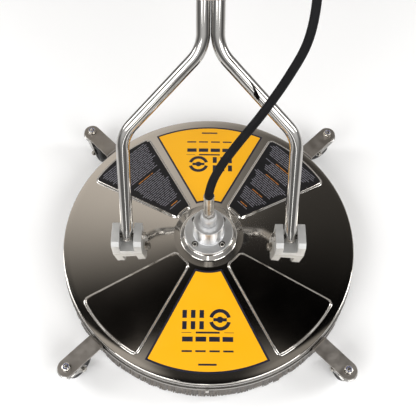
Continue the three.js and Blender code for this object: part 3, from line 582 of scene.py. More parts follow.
# ------------------------------------------------------------------ deck
DECK_RADIUS = width_of("deck") / 2 - 3
BEAD_RADIUS = DECK_RADIUS + 3
SKIRT_FOOT = -38
SHEET = 2
BOSS_TOP = 36
BOSS_RADIUS = 63
CONE_TOP_RADIUS = 90
CONE_TOP = 24
CONE_FOOT_RADIUS = DECK_RADIUS - 3
PANEL_INNER, PANEL_OUTER = 91, 358
PANEL_HALF = math.radians(16.6)
PANEL_CORNER = 16
PANEL_RISE = 5
PANEL_SLOPE = 5.5  # width of the pressed edge
PANEL_ANGLES = [math.radians(angle) for angle in (45, 135, 225, 315)]


def panel_distance(radius, angle):
    """How far a place is outside the nearest panel's outline; negative inside it."""
    nearest = np.full(np.shape(radius), 1e9)
    for centre in PANEL_ANGLES:
        turn = np.abs((angle - centre + math.pi) % (2 * math.pi) - math.pi)
        aside = radius * (turn - PANEL_HALF) + PANEL_CORNER
        beyond = (np.abs(radius - (PANEL_INNER + PANEL_OUTER) / 2)
                  - (PANEL_OUTER - PANEL_INNER) / 2 + PANEL_CORNER)
        outside = np.hypot(np.maximum(aside, 0), np.maximum(beyond, 0))
        inside = np.minimum(np.maximum(aside, beyond), 0)
        nearest = np.minimum(nearest, outside + inside - PANEL_CORNER)
    return nearest


def panel_rise(radius, angle):
    share = np.clip(-panel_distance(radius, angle) / PANEL_SLOPE, 0, 1)
    return PANEL_RISE * share * share * (3 - 2 * share)


def cone_height(radius):
    slope = CONE_TOP / (CONE_FOOT_RADIUS - CONE_TOP_RADIUS)
    return np.minimum(CONE_TOP, (CONE_FOOT_RADIUS - radius) * slope)


def deck_height(x, y):
    radius, angle = np.hypot(x, y), np.arctan2(y, x)
    return cone_height(radius) + panel_rise(radius, angle)


def deck_angles():
    """Angles of the deck's mesh, close together where the panels' edges slope."""
    near = [0, 0.15, 0.3, 0.45, 0.6, 0.75, 0.9, 1.1, 1.3, 1.5, 1.8, 2.2, 2.7, 3.3, 4.1, 5.2]
    half = math.degrees(PANEL_HALF)
    turns = set()
    for centre in (45, 135, 225, 315):
        for inward in near:
            turns |= {centre - half + inward, centre + half - inward}
        turns |= set(np.linspace(centre - half + 6.5, centre + half - 6.5, 13))
        turns |= set(np.linspace(centre + half + 0.2, centre + 90 - half - 0.2, 38))
    return np.radians(sorted(turns))


def deck_profile():
    """Closed outline of the deck's section, with stations along the panels."""
    outer = soften([
        (30, BOSS_TOP), (BOSS_RADIUS, BOSS_TOP, 5), (72.5, CONE_TOP, 5),
        (CONE_TOP_RADIUS, CONE_TOP, 30), (DECK_RADIUS - 1.2, 0.05, 8),
        (DECK_RADIUS - 1.2, -6, 1), (DECK_RADIUS - 2.2, -7, 1), (DECK_RADIUS - 2.2, -9, 1),
        (DECK_RADIUS, -10.5, 1.5), (DECK_RADIUS, -25, 1), (DECK_RADIUS - 1, -26, 1),
        (DECK_RADIUS - 1, -28, 1), (BEAD_RADIUS, -31, 2.5), (BEAD_RADIUS, SKIRT_FOOT, 1.4),
        (DECK_RADIUS - SHEET, SKIRT_FOOT, 0.6), (DECK_RADIUS - SHEET, -SHEET, 3),
        (CONE_TOP_RADIUS, CONE_TOP - SHEET, 12), (71, CONE_TOP - SHEET, 3),
        (BOSS_RADIUS - SHEET, BOSS_TOP - SHEET, 3), (30, BOSS_TOP - SHEET),
    ], 0, False, 6)
    stations = np.concatenate([
        [PANEL_INNER - 2, PANEL_INNER - 0.6, PANEL_OUTER + 0.6, PANEL_OUTER + 2.5],
        np.linspace(PANEL_INNER, PANEL_INNER + 8, 9),
        np.linspace(PANEL_INNER + 12, PANEL_OUTER - 12, 24),
        np.linspace(PANEL_OUTER - 8, PANEL_OUTER, 9),
    ])
    stations.sort()
    line = []
    for start, end in zip(outer, outer[1:]):
        line.append(start)
        low, high = sorted((start[0], end[0]))
        between = [radius for radius in stations if low + 0.5 < radius < high - 0.5]
        if end[0] < start[0]:
            between.reverse()
        if abs(start[1] - end[1]) > abs(start[0] - end[0]):
            between = []
        for radius in between:
            share = (radius - start[0]) / (end[0] - start[0])
            line.append((radius, start[1] + share * (end[1] - start[1])))
    return np.array([*line, outer[-1]])


def deck_finish(point):
    """Name of the finish at a place on the deck. The rim is darker, and its grooves get a
    painted shade;
    the two front panels get a painted dark reflection inside their pressed edges."""
    radius = math.hypot(point.x, point.y)
    if radius < DECK_RADIUS - 4 or point.z > -4.5:
        on_top = point.z > deck_height(point.x, point.y) - SHEET / 2
        inside = panel_distance(radius, math.atan2(point.y, point.x)) < -PANEL_SLOPE
        # Painted dark reflection inside the pressed edges of the two front panels.
        return "front_panel_painted_reflection" if point.y < 0 and on_top and inside else "deck_steel"
    # The rim's grooves get the painted shade.
    if -10 < point.z < -4.5 or -29.5 < point.z < -25.5:
        return "painted_shade_metal"
    return "rim_steel"


def banded(shell, choose):
    """The shell's faces sorted by the finish that choose gives for their middles."""
    groups = {}
    for face in shell.faces:
        middle = sum((shell.points[corner] for corner in face), Vector()) / len(face)
        groups.setdefault(choose(middle), []).append(face)
    return [(Shell(shell.points, faces), material) for material, faces in groups.items()]


def make_deck():
    profile = deck_profile()
    angles = deck_angles()
    radius, angle = np.meshgrid(profile[:, 0], angles, indexing="ij")
    height = np.repeat(profile[:, 1][:, None], len(angles), 1)
    height = height + panel_rise(radius, angle) * (radius < PANEL_OUTER + 1)
    rows = np.stack([radius * np.cos(angle), radius * np.sin(angle), height], -1)
    piece("deck_shell", banded(net(rows, True, True), deck_finish), "deck")
    piece("rim_clip", [(block((-4, -BEAD_RADIUS - 1.8, SKIRT_FOOT - 20),
                              (4, -BEAD_RADIUS - 0.2, SKIRT_FOOT + 6)), "strip_steel"),
                       (block((-3, -BEAD_RADIUS - 2.6, SKIRT_FOOT - 2),
                              (3, -BEAD_RADIUS - 1.6, SKIRT_FOOT + 4)), "hardware")],
          "strip_clip", bevel=0.4)


make_deck()

# ------------------------------------------------------------------ labels
LABEL_LIFT = 0.25
LABEL_FILM = 0.15
PRINT_LIFT = 0.42
PRINT_FILM = 0.1
LABEL_CORNERS = ((33.8, 93.8), (150.2, 321.2))
LABEL_BORDER = 5


def on_deck(x, y, lift):
    return np.stack([x, y, deck_height(x, y) + lift], -1)


def sector_label(inset, lift, turn):
    """Sector with straight sides and round ends, following the deck."""
    inner = math.hypot(*LABEL_CORNERS[0]) + inset
    outer = math.hypot(*LABEL_CORNERS[1]) - inset
    edge_slope = ((LABEL_CORNERS[1][0] - LABEL_CORNERS[0][0])
                  / (LABEL_CORNERS[1][1] - LABEL_CORNERS[0][1]))
    side_inset = inset * math.hypot(1, edge_slope)
    rows = []
    for radius in np.linspace(inner, outer, 40):
        half = math.asin((LABEL_CORNERS[0][0] + edge_slope
                          * (radius * math.cos(0.4) - LABEL_CORNERS[0][1])) / radius)
        for _ in range(6):
            along = radius * math.cos(half)
            edge = LABEL_CORNERS[0][0] + edge_slope * (along - LABEL_CORNERS[0][1]) - side_inset
            half = math.asin(edge / radius)
        angles = turn + np.linspace(half, -half, 49)
        rows.append(on_deck(radius * np.cos(angles), radius * np.sin(angles), lift))
    return film(np.array(rows), LABEL_FILM)


def panel_label(centre, inset, lift):
    """Label inside a panel's pressed edge."""
    rows = []
    for radius in np.linspace(PANEL_INNER + inset + 2, PANEL_OUTER - inset, 46):
        reach = PANEL_HALF - inset / radius
        angles = np.linspace(centre + reach, centre - reach, 33)
        rows.append(on_deck(radius * np.cos(angles), radius * np.sin(angles), lift))
    return film(np.array(rows), LABEL_FILM)


def printed(u, v, turn):
    """Ink at places (u, v) of a label whose up is away from the hub."""
    return film(on_deck(u * math.cos(turn) - v * math.sin(turn),
                        u * math.sin(turn) + v * math.cos(turn), PRINT_LIFT), PRINT_FILM)


def bar(x, y, length, height, turn):
    """Printed bar centred on (x, y)."""
    steps = max(2, int(length / 8) + 1)
    across, along = np.meshgrid(np.linspace(-length / 2, length / 2, steps),
                                np.linspace(height / 2, -height / 2, 2))
    return printed(x + across, y + along, turn)


def arc(x, y, inner, outer, start, end, turn):
    """Printed arc about (x, y); its angles are in degrees."""
    steps = max(4, int(abs(end - start) / 6) + 1)
    radius, angle = np.meshgrid(np.linspace(outer, inner, 3),
                                np.radians(np.linspace(end, start, steps)), indexing="ij")
    return printed(x + radius * np.cos(angle), y + radius * np.sin(angle), turn)


def pictogram(y, turn):
    """A spinning spray bar in a broken ring, with drops beside it."""
    shapes = [
        arc(-30, y, 18, 27, 14, 166, turn), arc(-30, y, 18, 27, 194, 346, turn),
        bar(-30, y, 33, 8, turn), arc(-30, y, 0.5, 8, 0, 354, turn),
    ]
    for column in range(3):
        x = 15 + 21 * column
        shapes += [bar(x, y + 14, 11, 20, turn), bar(x, y - 14, 11, 20, turn)]
    return shapes


def make_yellow_label(name, turn):
    blocks = [bar(x, 272, 26, 12, turn) for x in (-49, -16.5, 16.5, 49)]
    rules = [bar(-52, 256, 24, 1.3, turn), bar(52, 256, 24, 1.3, turn),
             bar(0, 256, 58, 4.6, turn)]
    small = [bar(x, 301, 25, 4.4, turn) for x in (-50, -17, 17, 50)]
    foot = [bar(0, 333, 44, 4.6, turn)]
    marks = join(*pictogram(224, turn), *rules, *blocks, *small, *foot)
    piece(name, [
        (sector_label(0, LABEL_LIFT, turn + math.pi / 2), "label_navy"),
        (sector_label(LABEL_BORDER, LABEL_LIFT + 0.1, turn + math.pi / 2), "label_yellow"),
        (marks, "label_navy"),
    ])


LINE_PITCH = 5.7
LINE_HEIGHT = 1.8
TOP_MARGIN, FOOT_MARGIN, SIDE_MARGIN = 22, 26, 12
HEADING_SHARE = 0.42  # of the width between the margins
WORD_LENGTHS = (9, 26)
WORD_GAP = 2.0


def make_black_label(name, centre, seed, headings):
    """Dark label with one column of plain grey lines, and a few orange ones."""
    draw = random.Random(seed)
    turn = centre - math.pi / 2
    grey, orange = [], []
    count = int((PANEL_OUTER - PANEL_INNER - TOP_MARGIN - FOOT_MARGIN) / LINE_PITCH)
    width = 0.9
    for line in range(count):
        radius = PANEL_OUTER - TOP_MARGIN - line * LINE_PITCH
        reach = radius * math.tan(PANEL_HALF) - SIDE_MARGIN
        heading = line in headings
        if heading:
            width = draw.uniform(0.72, 0.95)
        if line + 1 in headings:
            continue
        share = HEADING_SHARE if heading else width + draw.uniform(-0.09, 0.05)
        length = 2 * reach * max(share, 0.3)
        side = draw.uniform(-0.03, 0.03) * reach
        words = orange if heading else grey
        start = side - length / 2
        while start < side + length / 2 - 4:
            word = min(draw.uniform(*WORD_LENGTHS), side + length / 2 - start)
            words.append(bar(start + word / 2, radius, word, LINE_HEIGHT, turn))
            start += word + WORD_GAP
        if draw.random() < 0.12:
            width = draw.uniform(0.6, 0.98)
    piece(name, [
        (panel_label(centre, PANEL_SLOPE + 1, LABEL_LIFT), "label_black"),
        (join(*grey), "print_grey"), (join(*orange), "print_orange"),
    ])


make_yellow_label("label_front", math.pi)
make_yellow_label("label_rear", 0)
make_black_label("label_left", PANEL_ANGLES[1], 3, (16, 36))
make_black_label("label_right", PANEL_ANGLES[0], 8, (8, 16, 27, 36))

# ------------------------------------------------------------------ brush skirt
BRUSH_TOP = -41
TUFTS = 540
CLUMPS = 150
TUFT_ROWS = ((372.6, 376.0), (374.3, 380.0), (376.0, 383.6))  # radii of top and foot
CLUMP_SPREAD, CLUMP_LIFT, CLUMP_LEAN = 0.9, 3.0, 0.004
PALE_SHARE = 0.4


def make_brush():
    channel = lathe([
        (370, -40), (371.4, -40), (371.4, -21.4, 1), (377.2, -21.4, 1), (377.2, -40),
        (378.6, -40), (378.6, -20, 1.5), (370, -20, 1.5),
    ], 192, 3, 0.3)
    piece("skirt_strip", [(channel, "strip_steel")], "brush_channel")
    core = lathe([(372.2, -25), (376.4, -25), (376.6, -41), (379.5, -70), (381.5, -93),
                  (377.5, -93), (375.5, -70), (372.2, -41)], 192, 2, 1)
    draw = random.Random(11)
    shells = []
    for top_radius, foot_radius in TUFT_ROWS:
        clumps = [(draw.gauss(0, CLUMP_SPREAD), abs(draw.gauss(0, CLUMP_LIFT)),
                   draw.gauss(0, CLUMP_LEAN)) for _ in range(CLUMPS)]
        for tuft in range(TUFTS):
            spread, lift, lean = clumps[tuft * CLUMPS // TUFTS]
            turn = 2 * math.pi * (tuft + 0.6 * draw.random()) / TUFTS
            foot = FLOOR + 2 + lift + abs(draw.gauss(0, 0.8))
            middle = (BRUSH_TOP + foot) / 2
            path = [
                (top_radius, turn, BRUSH_TOP + 3, 1.9),
                ((top_radius + foot_radius) / 2 - 0.8, turn + lean * 0.4, middle, 2.0),
                (foot_radius + spread, turn + lean, foot, 1.5),
            ]
            points = []
            for radius, angle, height, half in path:
                skew = half / radius
                points += [
                    ((radius + a * half) * math.cos(angle + b * skew),
                     (radius + a * half) * math.sin(angle + b * skew), height)
                    for a, b in ((-1, -1), (1, -1), (1, 1), (-1, 1))]
            faces = [[3, 2, 1, 0], [8, 9, 10, 11]]
            for level in (0, 4):
                for corner in range(4):
                    ahead = (corner + 1) % 4
                    faces.append([level + corner, level + ahead, level + 4 + ahead,
                                  level + 4 + corner])
            shells.append(Shell(points, faces))
    split = {"bristle": [], "bristle_tip": []}
    for shell in shells:
        split["bristle_tip" if draw.random() < PALE_SHARE else "bristle"].append(shell)
    parts = [(core, "bristle")]
    parts += [(join(*group), material) for material, group in split.items()]
    piece("bristles", parts, "brush_skirt")


make_brush()

# ------------------------------------------------------------------ swivel
SCREW_CIRCLE = 49
FLANGE_RADIUS = width_of("swivel_housing") / 2
FLANGE_TOP = 45
SWIVEL_TOP = 103
CAP_TOP = 138
COUNTERBORE = 8.6


def screw_places():
    return [(SCREW_CIRCLE * math.cos(angle), SCREW_CIRCLE * math.sin(angle))
            for angle in PANEL_ANGLES]


def screw_head(sink, radius=7.0, socket=3.2):
    """Round head with a socket, its top at zero and its shank below."""
    profile = soften([(4, -20), (4, -sink), (radius, -sink, 0.5), (radius, -1.2, 1.2),
                      (radius - 1.6, 0, 0.8), (socket + 0.4, 0, 0.4)], 0, False, 3)
    inside = [(socket, -0.4), (socket - 0.2, -sink + 0.8), (0, -sink + 0.6)]
    return turned([(0, -20), *profile, *inside], 48)


def make_swivel():
    boss = BOSS_TOP + 0.3
    housing = lathe([
        (24, boss), (FLANGE_RADIUS - 1.5, boss, 0.5), (FLANGE_RADIUS - 1.5, boss + 1.6, 0.4),
        (FLANGE_RADIUS, boss + 2, 0.4), (FLANGE_RADIUS, FLANGE_TOP, 1.4),
        (39, FLANGE_TOP, 2.5), (38, FLANGE_TOP + 4, 1), (38, SWIVEL_TOP, 1.6),
        (24.5, SWIVEL_TOP, 0.6), (24.5, SWIVEL_TOP - 0.8, 0.4), (15.5, SWIVEL_TOP - 0.8),
        (15.5, SWIVEL_TOP - 11), (24, SWIVEL_TOP - 11),
    ], 128, 4, 0.3)
    holes = [screw_hole(x, y, FLANGE_TOP) for x, y in screw_places()]
    housing = carved(housing, *holes)

    def housing_finish(point):
        # Painted shade in the counterbores round the screws.
        near = any(math.hypot(point.x - x, point.y - y) < COUNTERBORE + 0.2
                   for x, y in screw_places())
        return "painted_shade_metal" if near and point.z < FLANGE_TOP - 0.2 else "cast_aluminium"

    piece("swivel_body", banded(housing, housing_finish), "swivel_housing")

    cap = lathe([
        (5, 95), (15, 95), (15, SWIVEL_TOP + 0.3), (18.6, SWIVEL_TOP + 0.3, 0.8),
        (18.6, SWIVEL_TOP + 3, 0.6), (18, SWIVEL_TOP + 4, 0.6), (18, CAP_TOP - 17, 3),
        (20.5, CAP_TOP - 12, 2.4), (20.5, CAP_TOP - 6, 3.5), (16.5, CAP_TOP, 2),
        (11.8, CAP_TOP, 0.8), (11.4, CAP_TOP - 3, 0.8), (9, CAP_TOP - 3), (9, CAP_TOP - 14),
        (5, CAP_TOP - 14),
    ], 96, 4, 0.3)
    piece("swivel_collar", [(cap, "cast_aluminium")], "swivel_cap")

    for index, (x, y) in enumerate(screw_places()):
        # Painted shade inside each screw's socket.
        head = banded(screw_head(4.6, 7.2, 3.8), lambda point: (
            "painted_shade_metal" if math.hypot(point.x, point.y) < 3.9 else "hardware"))
        head = [(shell.shifted(x, y, FLANGE_TOP - 0.9), finish) for shell, finish in head]
        piece(f"deck_screw_{index + 1}", head, f"flange_screw_{index + 1}")

    nut = join(turned([(4, CAP_TOP - 13), (8.2, CAP_TOP - 13), (8.2, CAP_TOP), (4, CAP_TOP)],
                      48),
               hexagon(20, CAP_TOP - 2.4, CAP_TOP + 14.3, 4))
    piece("hose_nut", [(nut, "hardware")], "inlet_fitting")
    piece("lower_crimp", [(crimped(CAP_TOP + 14.6, 232.7), "ferrule_steel")], "lower_ferrule")
    plate = lathe([(30, 28.7), (59.5, 28.7), (59.5, 33.7), (30, 33.7)], 96, 3, 0.8)
    holes = [turned([(0, 20), (4.4, 20), (4.4, 40), (0, 40)], 24).shifted(x, y, 0)
             for x, y in screw_places()]
    piece("inner_plate", [(carved(plate, *holes), "strip_steel")], "backing_plate")


def screw_hole(x, y, top):
    """Counterbore and clearance hole of a flange screw."""
    return turned([(0, 20), (4.4, 20), (4.4, top - 5.6), (COUNTERBORE, top - 5.6),
                   (COUNTERBORE, top + 5), (0, top + 5)], 40).shifted(x, y, 0)


def crimped(foot, top, radius=12.5, bore=10.6):
    """Ferrule with two crimp grooves and a rolled mouth."""
    return lathe([
        (bore - 2.4, foot + 2), (radius - 1.5, foot, 0.8), (radius, foot + 4, 0.8),
        (radius, foot + 16, 1), (radius - 0.9, foot + 19, 1), (radius - 0.9, foot + 25, 1),
        (radius, foot + 28, 1), (radius, foot + 40, 1), (radius - 0.7, foot + 43, 1),
        (radius - 0.7, foot + 47, 1), (radius, foot + 50, 1), (radius, top - 3, 1),
        (radius + 0.5, top - 2, 0.8), (radius + 0.2, top, 0.8), (bore, top, 0.4),
        (bore, top - 20), (bore - 2.4, top - 21),
    ], 72, 3, 0.2)


make_swivel()


# ------------------------------------------------------------------ rotor
ARM_HEIGHT = -15
ARM_REACH = 332
ARM_BEND = 16  # radius of the bend at the arm's end
ARM_BEND_START = 26  # from the end of the reach
NOZZLE_TILT = math.radians(18)


def make_rotor():
    shaft = lathe([(0, -24), (15, -24, 1), (15, 38, 1), (12.2, 38), (12.2, 91, 1), (5, 91),
                   (5, -14), (0, -14)], 64, 3)
    piece("spindle", [(shaft, "shaft_steel")], "rotor_shaft", body="rotor")
    hub = lathe([(0, -30), (30, -30, 3), (30, 4, 2), (15.6, 4, 0.6), (15.6, -24.4),
                 (0, -24.4)], 96, 4)
    bolt = hexagon(17, 0, 7).moved(OVER).shifted(0, 0, -30)
    piece("spray_hub", [(hub, "shaft_steel"), (bolt, "hardware")], "rotor_hub", body="rotor")
    for side, sign in (("left", -1), ("right", 1)):
        path = [(sign * x, 0, ARM_HEIGHT)
                for x in np.linspace(20, ARM_REACH - ARM_BEND_START, 12)]
        down = Vector((0, sign * math.sin(NOZZLE_TILT), -math.cos(NOZZLE_TILT)))
        corner = Vector((sign * (ARM_REACH - ARM_BEND_START + ARM_BEND), 0, ARM_HEIGHT))
        out = Vector((sign, 0, 0))
        for angle in np.linspace(0, math.pi / 2, 9)[1:]:
            path.append(corner - out * ARM_BEND * (1 - math.sin(angle))
                        + down * ARM_BEND * (1 - math.cos(angle)))
        path.append(corner + down * (ARM_BEND + 4))
        arm = round_bar(path, 8.5, 28)
        turn = out.rotation_difference(Vector((1, 0, 0))).to_matrix().to_4x4()
        to_down = Vector((0, 0, 1)).rotation_difference(down).to_matrix().to_4x4()
        at_corner = Matrix.Translation(corner) @ to_down
        collar = hexagon(20, 4, 20, 5).moved(at_corner)
        nut = hexagon(22, 0, 12).moved(turn @ ALONG_X).shifted(sign * 32 - 6, 0, ARM_HEIGHT)
        piece(f"arm_tube_{side}", [(arm, "tube_steel"), (collar, "strip_steel"),
                                   (nut, "hardware")], f"spray_arm_{side}", body="rotor")
        tip = join(hexagon(12.5, 20.4, 34, 1.6),
                   lathe([(1.6, 34), (5.4, 34, 0.4), (5.4, 42, 1.5), (1.6, 44, 0.4)], 40, 3))
        piece(f"spray_tip_{side}", [(tip.moved(at_corner), "brass")], f"nozzle_{side}",
              body="rotor")


make_rotor()

# ------------------------------------------------------------------ casters
STRAP_TOP = -6
STRAP_THICKNESS = 4
STRAP_HALF = 22
WHEEL_RADIUS = 36
FORK_HALF_GAP = 14.8
TRAIL = 28
TO_AXLE = Matrix.Translation((0, -TRAIL, FLOOR + WHEEL_RADIUS)) @ ALONG_X


def caster_strap(reach):
    """Flat bar with a round end, bent down against the skirt and welded there."""
    side = soften([
        (-reach, SKIRT_FOOT), (-reach + STRAP_THICKNESS, SKIRT_FOOT),
        (-reach + STRAP_THICKNESS, STRAP_TOP - STRAP_THICKNESS, 3),
        (STRAP_HALF, STRAP_TOP - STRAP_THICKNESS), (STRAP_HALF, STRAP_TOP),
        (-reach, STRAP_TOP, 7),
    ], 0, True, 6)
    bar_shell = prism(side, -STRAP_HALF, STRAP_HALF, "yzx")
    corner = [(STRAP_HALF * math.cos(angle), STRAP_HALF * math.sin(angle))
              for angle in np.linspace(0, math.pi, 33)]
    beyond = [(-40, 0), (-40, 40), (40, 40), (40, 0)]
    trim = prism(corner + beyond, -40, 10)
    hole = turned([(0, -40), (5.5, -40), (5.5, 10), (0, 10)], 32)
    return carved(bar_shell, trim, hole)


def weld_bead(reach):
    path = [(x, -reach - 0.4 + 0.25 * math.sin(x * 2.1), STRAP_TOP - 6.5)
            for x in np.linspace(-20, 20, 41)]
    return round_bar(path, 1.5, 10)


def caster_fork():
    ceiling = STRAP_TOP - STRAP_THICKNESS - 0.3
    crown = ceiling - 8
    axle = FLOOR + WHEEL_RADIUS
    cup = lathe([
        (0, crown - 1), (25, crown - 1, 1.5), (25, crown + 2.4, 1.5), (22.5, crown + 3.6, 1),
        (23.5, crown + 4.6, 1), (23.5, ceiling - 1, 1.8), (18, ceiling, 1.5), (0, ceiling),
    ], 72, 4)
    leg_outline = soften([
        (17, crown - 1, 2), (-25, crown - 1, 6), (-TRAIL - 11, axle + 2, 6),
        (-TRAIL - 9, axle - 9, 8), (-TRAIL + 5, axle - 10.5, 9), (-TRAIL + 14, axle + 3, 12),
        (17, crown - 9, 7)], 0, True, 5)
    plate = prism(soften([(-17.8, -26, 9), (17.8, -26, 9), (17.8, 18, 6), (-17.8, 18, 6)], 0,
                         True, 5), crown - 4, crown)
    legs = [prism(leg_outline, low, low + 3, "yzx") for low in (-FORK_HALF_GAP - 3,
                                                                FORK_HALF_GAP)]
    stem = lathe([(0, ceiling - 2), (5, ceiling - 2), (5, 5.4, 0.8), (0, 6)], 32, 3)
    return [(cup, "fork_steel"), (join(plate, *legs), "fork_steel"), (stem, "hardware")]


def locknut():
    """Hexagon locknut with a nylon ring round the stem."""
    foot = STRAP_TOP + 0.3
    washer = lathe([(5.6, foot), (11.4, foot, 0.5), (11.4, foot + 1.6, 0.5),
                    (5.6, foot + 1.6)], 48, 2)
    body = hexagon(17, foot + 1.6, foot + 8.2, 5.4)
    dome = lathe([(6.8, foot + 8), (7.8, foot + 8), (7.8, foot + 10.6, 1.4),
                  (6.8, foot + 11, 0.4)], 48, 3)
    nylon = lathe([(5.1, foot + 8.4), (7.0, foot + 8.4), (7.0, foot + 10.4, 0.6),
                   (5.1, foot + 10, 0.3)], 48, 3)
    return [(join(washer, body, dome), "hardware"), (nylon, "nut_nylon")]


def caster_wheel():
    half = 13
    tyre = lathe([
        (25, -half + 2.2), (28, -half + 0.4, 1.5), (WHEEL_RADIUS - 5, -half, 3),
        (WHEEL_RADIUS, -half + 5.5, 4), (WHEEL_RADIUS, half - 5.5, 4),
        (WHEEL_RADIUS - 5, half, 3), (28, half - 0.4, 1.5), (25, half - 2.2),
    ], 96, 4, 0.4)
    centre = lathe([
        (4.5, -half - 1), (9, -half - 1, 0.8), (9.5, -half + 3, 2), (23, -half + 4.5, 2),
        (25.2, -half + 2.2, 1), (25.2, half - 2.2, 1), (23, half - 4.5, 2),
        (9.5, half - 3, 2), (9, half + 1, 0.8), (4.5, half + 1),
    ], 72, 4, 0.3)
    spokes = []
    for side in (-1, 1):
        for rib in range(6):
            low, high = sorted((side * (half - 6.5), side * (half - 2.6)))
            shape = block((9, -1.3, low), (23.5, 1.3, high))
            spokes.append(shape.moved(Matrix.Rotation(rib * math.pi / 3, 4, "Z")))
    return [(tyre.moved(TO_AXLE), "wheel_tread"),
            (join(centre, *spokes).moved(TO_AXLE), "gun_plastic")]


def axle_bolt():
    out = FORK_HALF_GAP + 3.3
    head = hexagon(13, out, out + 5)
    shank = turned([(0, -out - 7), (4, -out - 7), (4, out + 1), (0, out + 1)], 32)
    nut = hexagon(13, out, out + 5.5, 3.9).moved(OVER)
    return [(join(head, shank, nut).moved(TO_AXLE), "hardware")]


def make_caster(corner):
    stem = Vector(JOINTS[f"caster_swivel_{corner}"]["pos_m"])
    axle = Vector(JOINTS[f"wheel_spin_{corner}"]["pos_m"])
    from_hub = Vector((stem.x - HUB.x, stem.y - HUB.y))
    trail = axle - stem
    base = Matrix.Translation((stem.x, stem.y, HUB.z))
    outward = math.atan2(from_hub.y, from_hub.x) - math.pi / 2
    heading = math.atan2(trail.y, trail.x) + math.pi / 2
    at_strap = base @ Matrix.Rotation(outward, 4, "Z")
    at_fork = base @ Matrix.Rotation(heading, 4, "Z")
    reach = from_hub.length / MM - BEAD_RADIUS - 0.3
    strap = [(caster_strap(reach), "strap_steel"), (weld_bead(reach), "strip_steel")]
    piece(f"strap_{corner}", strap, f"caster_arm_{corner}", at_strap, bevel=0.5)
    body = f"caster_{corner}"
    piece(f"fork_{corner}", caster_fork(), f"caster_fork_{corner}", at_fork, body, 0.4)
    piece(f"locknut_{corner}", locknut(), f"stem_nut_{corner}", at_fork, body)
    piece(f"axle_{corner}", axle_bolt(), f"axle_bolt_{corner}", at_fork, body)
    piece(f"tyre_{corner}", caster_wheel(), f"wheel_{corner}", at_fork, f"roller_{corner}")


for corner_name in ("rear_left", "rear_right", "front_left", "front_right"):
    make_caster(corner_name)

# ------------------------------------------------------------------ clevises
CHEEK = 20
SLOT_HALF = 18
CLEVIS_FRONT, CLEVIS_REAR = PIVOT_Y - 36, PIVOT_Y + 31
CLEVIS_TOP = 65
CLEVIS_FLOOR = 30
PIVOT_X = (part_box("clevis_right")[0].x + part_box("clevis_right")[1].x) / 2 / MM


def make_clevis(side, sign):
    x = sign * PIVOT_X
    half = SLOT_HALF + CHEEK
    outline = [(CLEVIS_FRONT, 5), (CLEVIS_REAR, 5), (CLEVIS_REAR, CLEVIS_TOP - 5),
               (CLEVIS_REAR - 5, CLEVIS_TOP), (CLEVIS_FRONT + 10, CLEVIS_TOP),
               (CLEVIS_FRONT, CLEVIS_TOP - 10)]
    body = prism(outline, x - half, x + half, "yzx")
    slot = block((x - SLOT_HALF, CLEVIS_FRONT - 10, CLEVIS_FLOOR),
                 (x + SLOT_HALF, CLEVIS_REAR + 10, CLEVIS_TOP + 10))
    under = [[(u, v, float(cone_height(math.hypot(u, v))) + 0.15)
              for u in np.linspace(x - half - 4, x + half + 4, 9)]
             for v in np.linspace(CLEVIS_FRONT - 4, CLEVIS_REAR + 4, 8)]
    ground = film(np.array(under), 60)
    bore = turned([(0, -60), (6.4, -60), (6.4, 60), (0, 60)], 32)
    to_pivot = Matrix.Translation((x, PIVOT_Y, PIVOT_HEIGHT))
    shell = carved(body, slot, ground, bore.moved(to_pivot @ ALONG_X))
    piece(f"clevis_block_{side}", [(shell, "machined_aluminium")], f"clevis_{side}", bevel=0.7)

    inward = to_pivot @ (ALONG_X if sign < 0 else ALONG_X @ OVER)
    washer = lathe([(6.2, half + 0.3), (13, half + 0.3, 0.5), (13, half + 2.3, 0.6),
                    (6.2, half + 2.3)], 64, 3)
    head = hexagon(19, half + 2.3, half + 10)
    shank = lathe([(0, -half - 2), (6, -half - 2, 1), (6, half + 3), (0, half + 3)], 40, 3)
    # The shank gets the painted shade where it lies in the bore and between the cheeks.
    piece(f"clevis_bolt_{side}", [(join(head, washer).moved(inward), "hardware"),
                                  (shank.moved(inward), "painted_shade_metal")], f"pivot_bolt_{side}")


make_clevis("left", -1)
make_clevis("right", 1)

# ------------------------------------------------------------------ handle
TUBE_RADIUS = 16
TUBE_TIP = 18
TIP_HALF_WIDTH = 14.2
FLATTENED = 26
BEND_RADIUS = 90
PARALLEL_X = TUBE_RADIUS + 0.3
ELBOW, MEETING, PARTING = 270, 476, 720
BAR_X = (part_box("grip_right")[0].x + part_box("grip_right")[1].x) / 2 / MM
BAR_START = PARTING + BAR_X - PARALLEL_X
BAR_END = 1120
BAND_START, BAND_END = 585, 615
GRIP_START = 1003
GRIP_RADIUS = 19


def bent(corners, radius, steps=14):
    """Points of a flat line with its corners bent to a radius."""
    line = soften([(*corner, radius) for corner in corners], 0, False, steps)
    return [Vector((x, y, 0)) for x, y in line]


def handle_path(sign):
    x = sign * PIVOT_X
    tip = [Vector((x, y, 0)) for y in
           -TUBE_TIP * np.sin(np.radians([89, 84, 78, 70, 60, 50, 38, 26, 13]))]
    swage = [Vector((x, y, 0)) for y in np.linspace(0, FLATTENED, 13)]
    upper = bent([(x, FLATTENED + 6), (x, ELBOW), (sign * PARALLEL_X, MEETING),
                  (sign * PARALLEL_X, PARTING), (sign * BAR_X, BAR_START),
                  (sign * BAR_X, BAR_END)], BEND_RADIUS)
    return tip + swage + upper


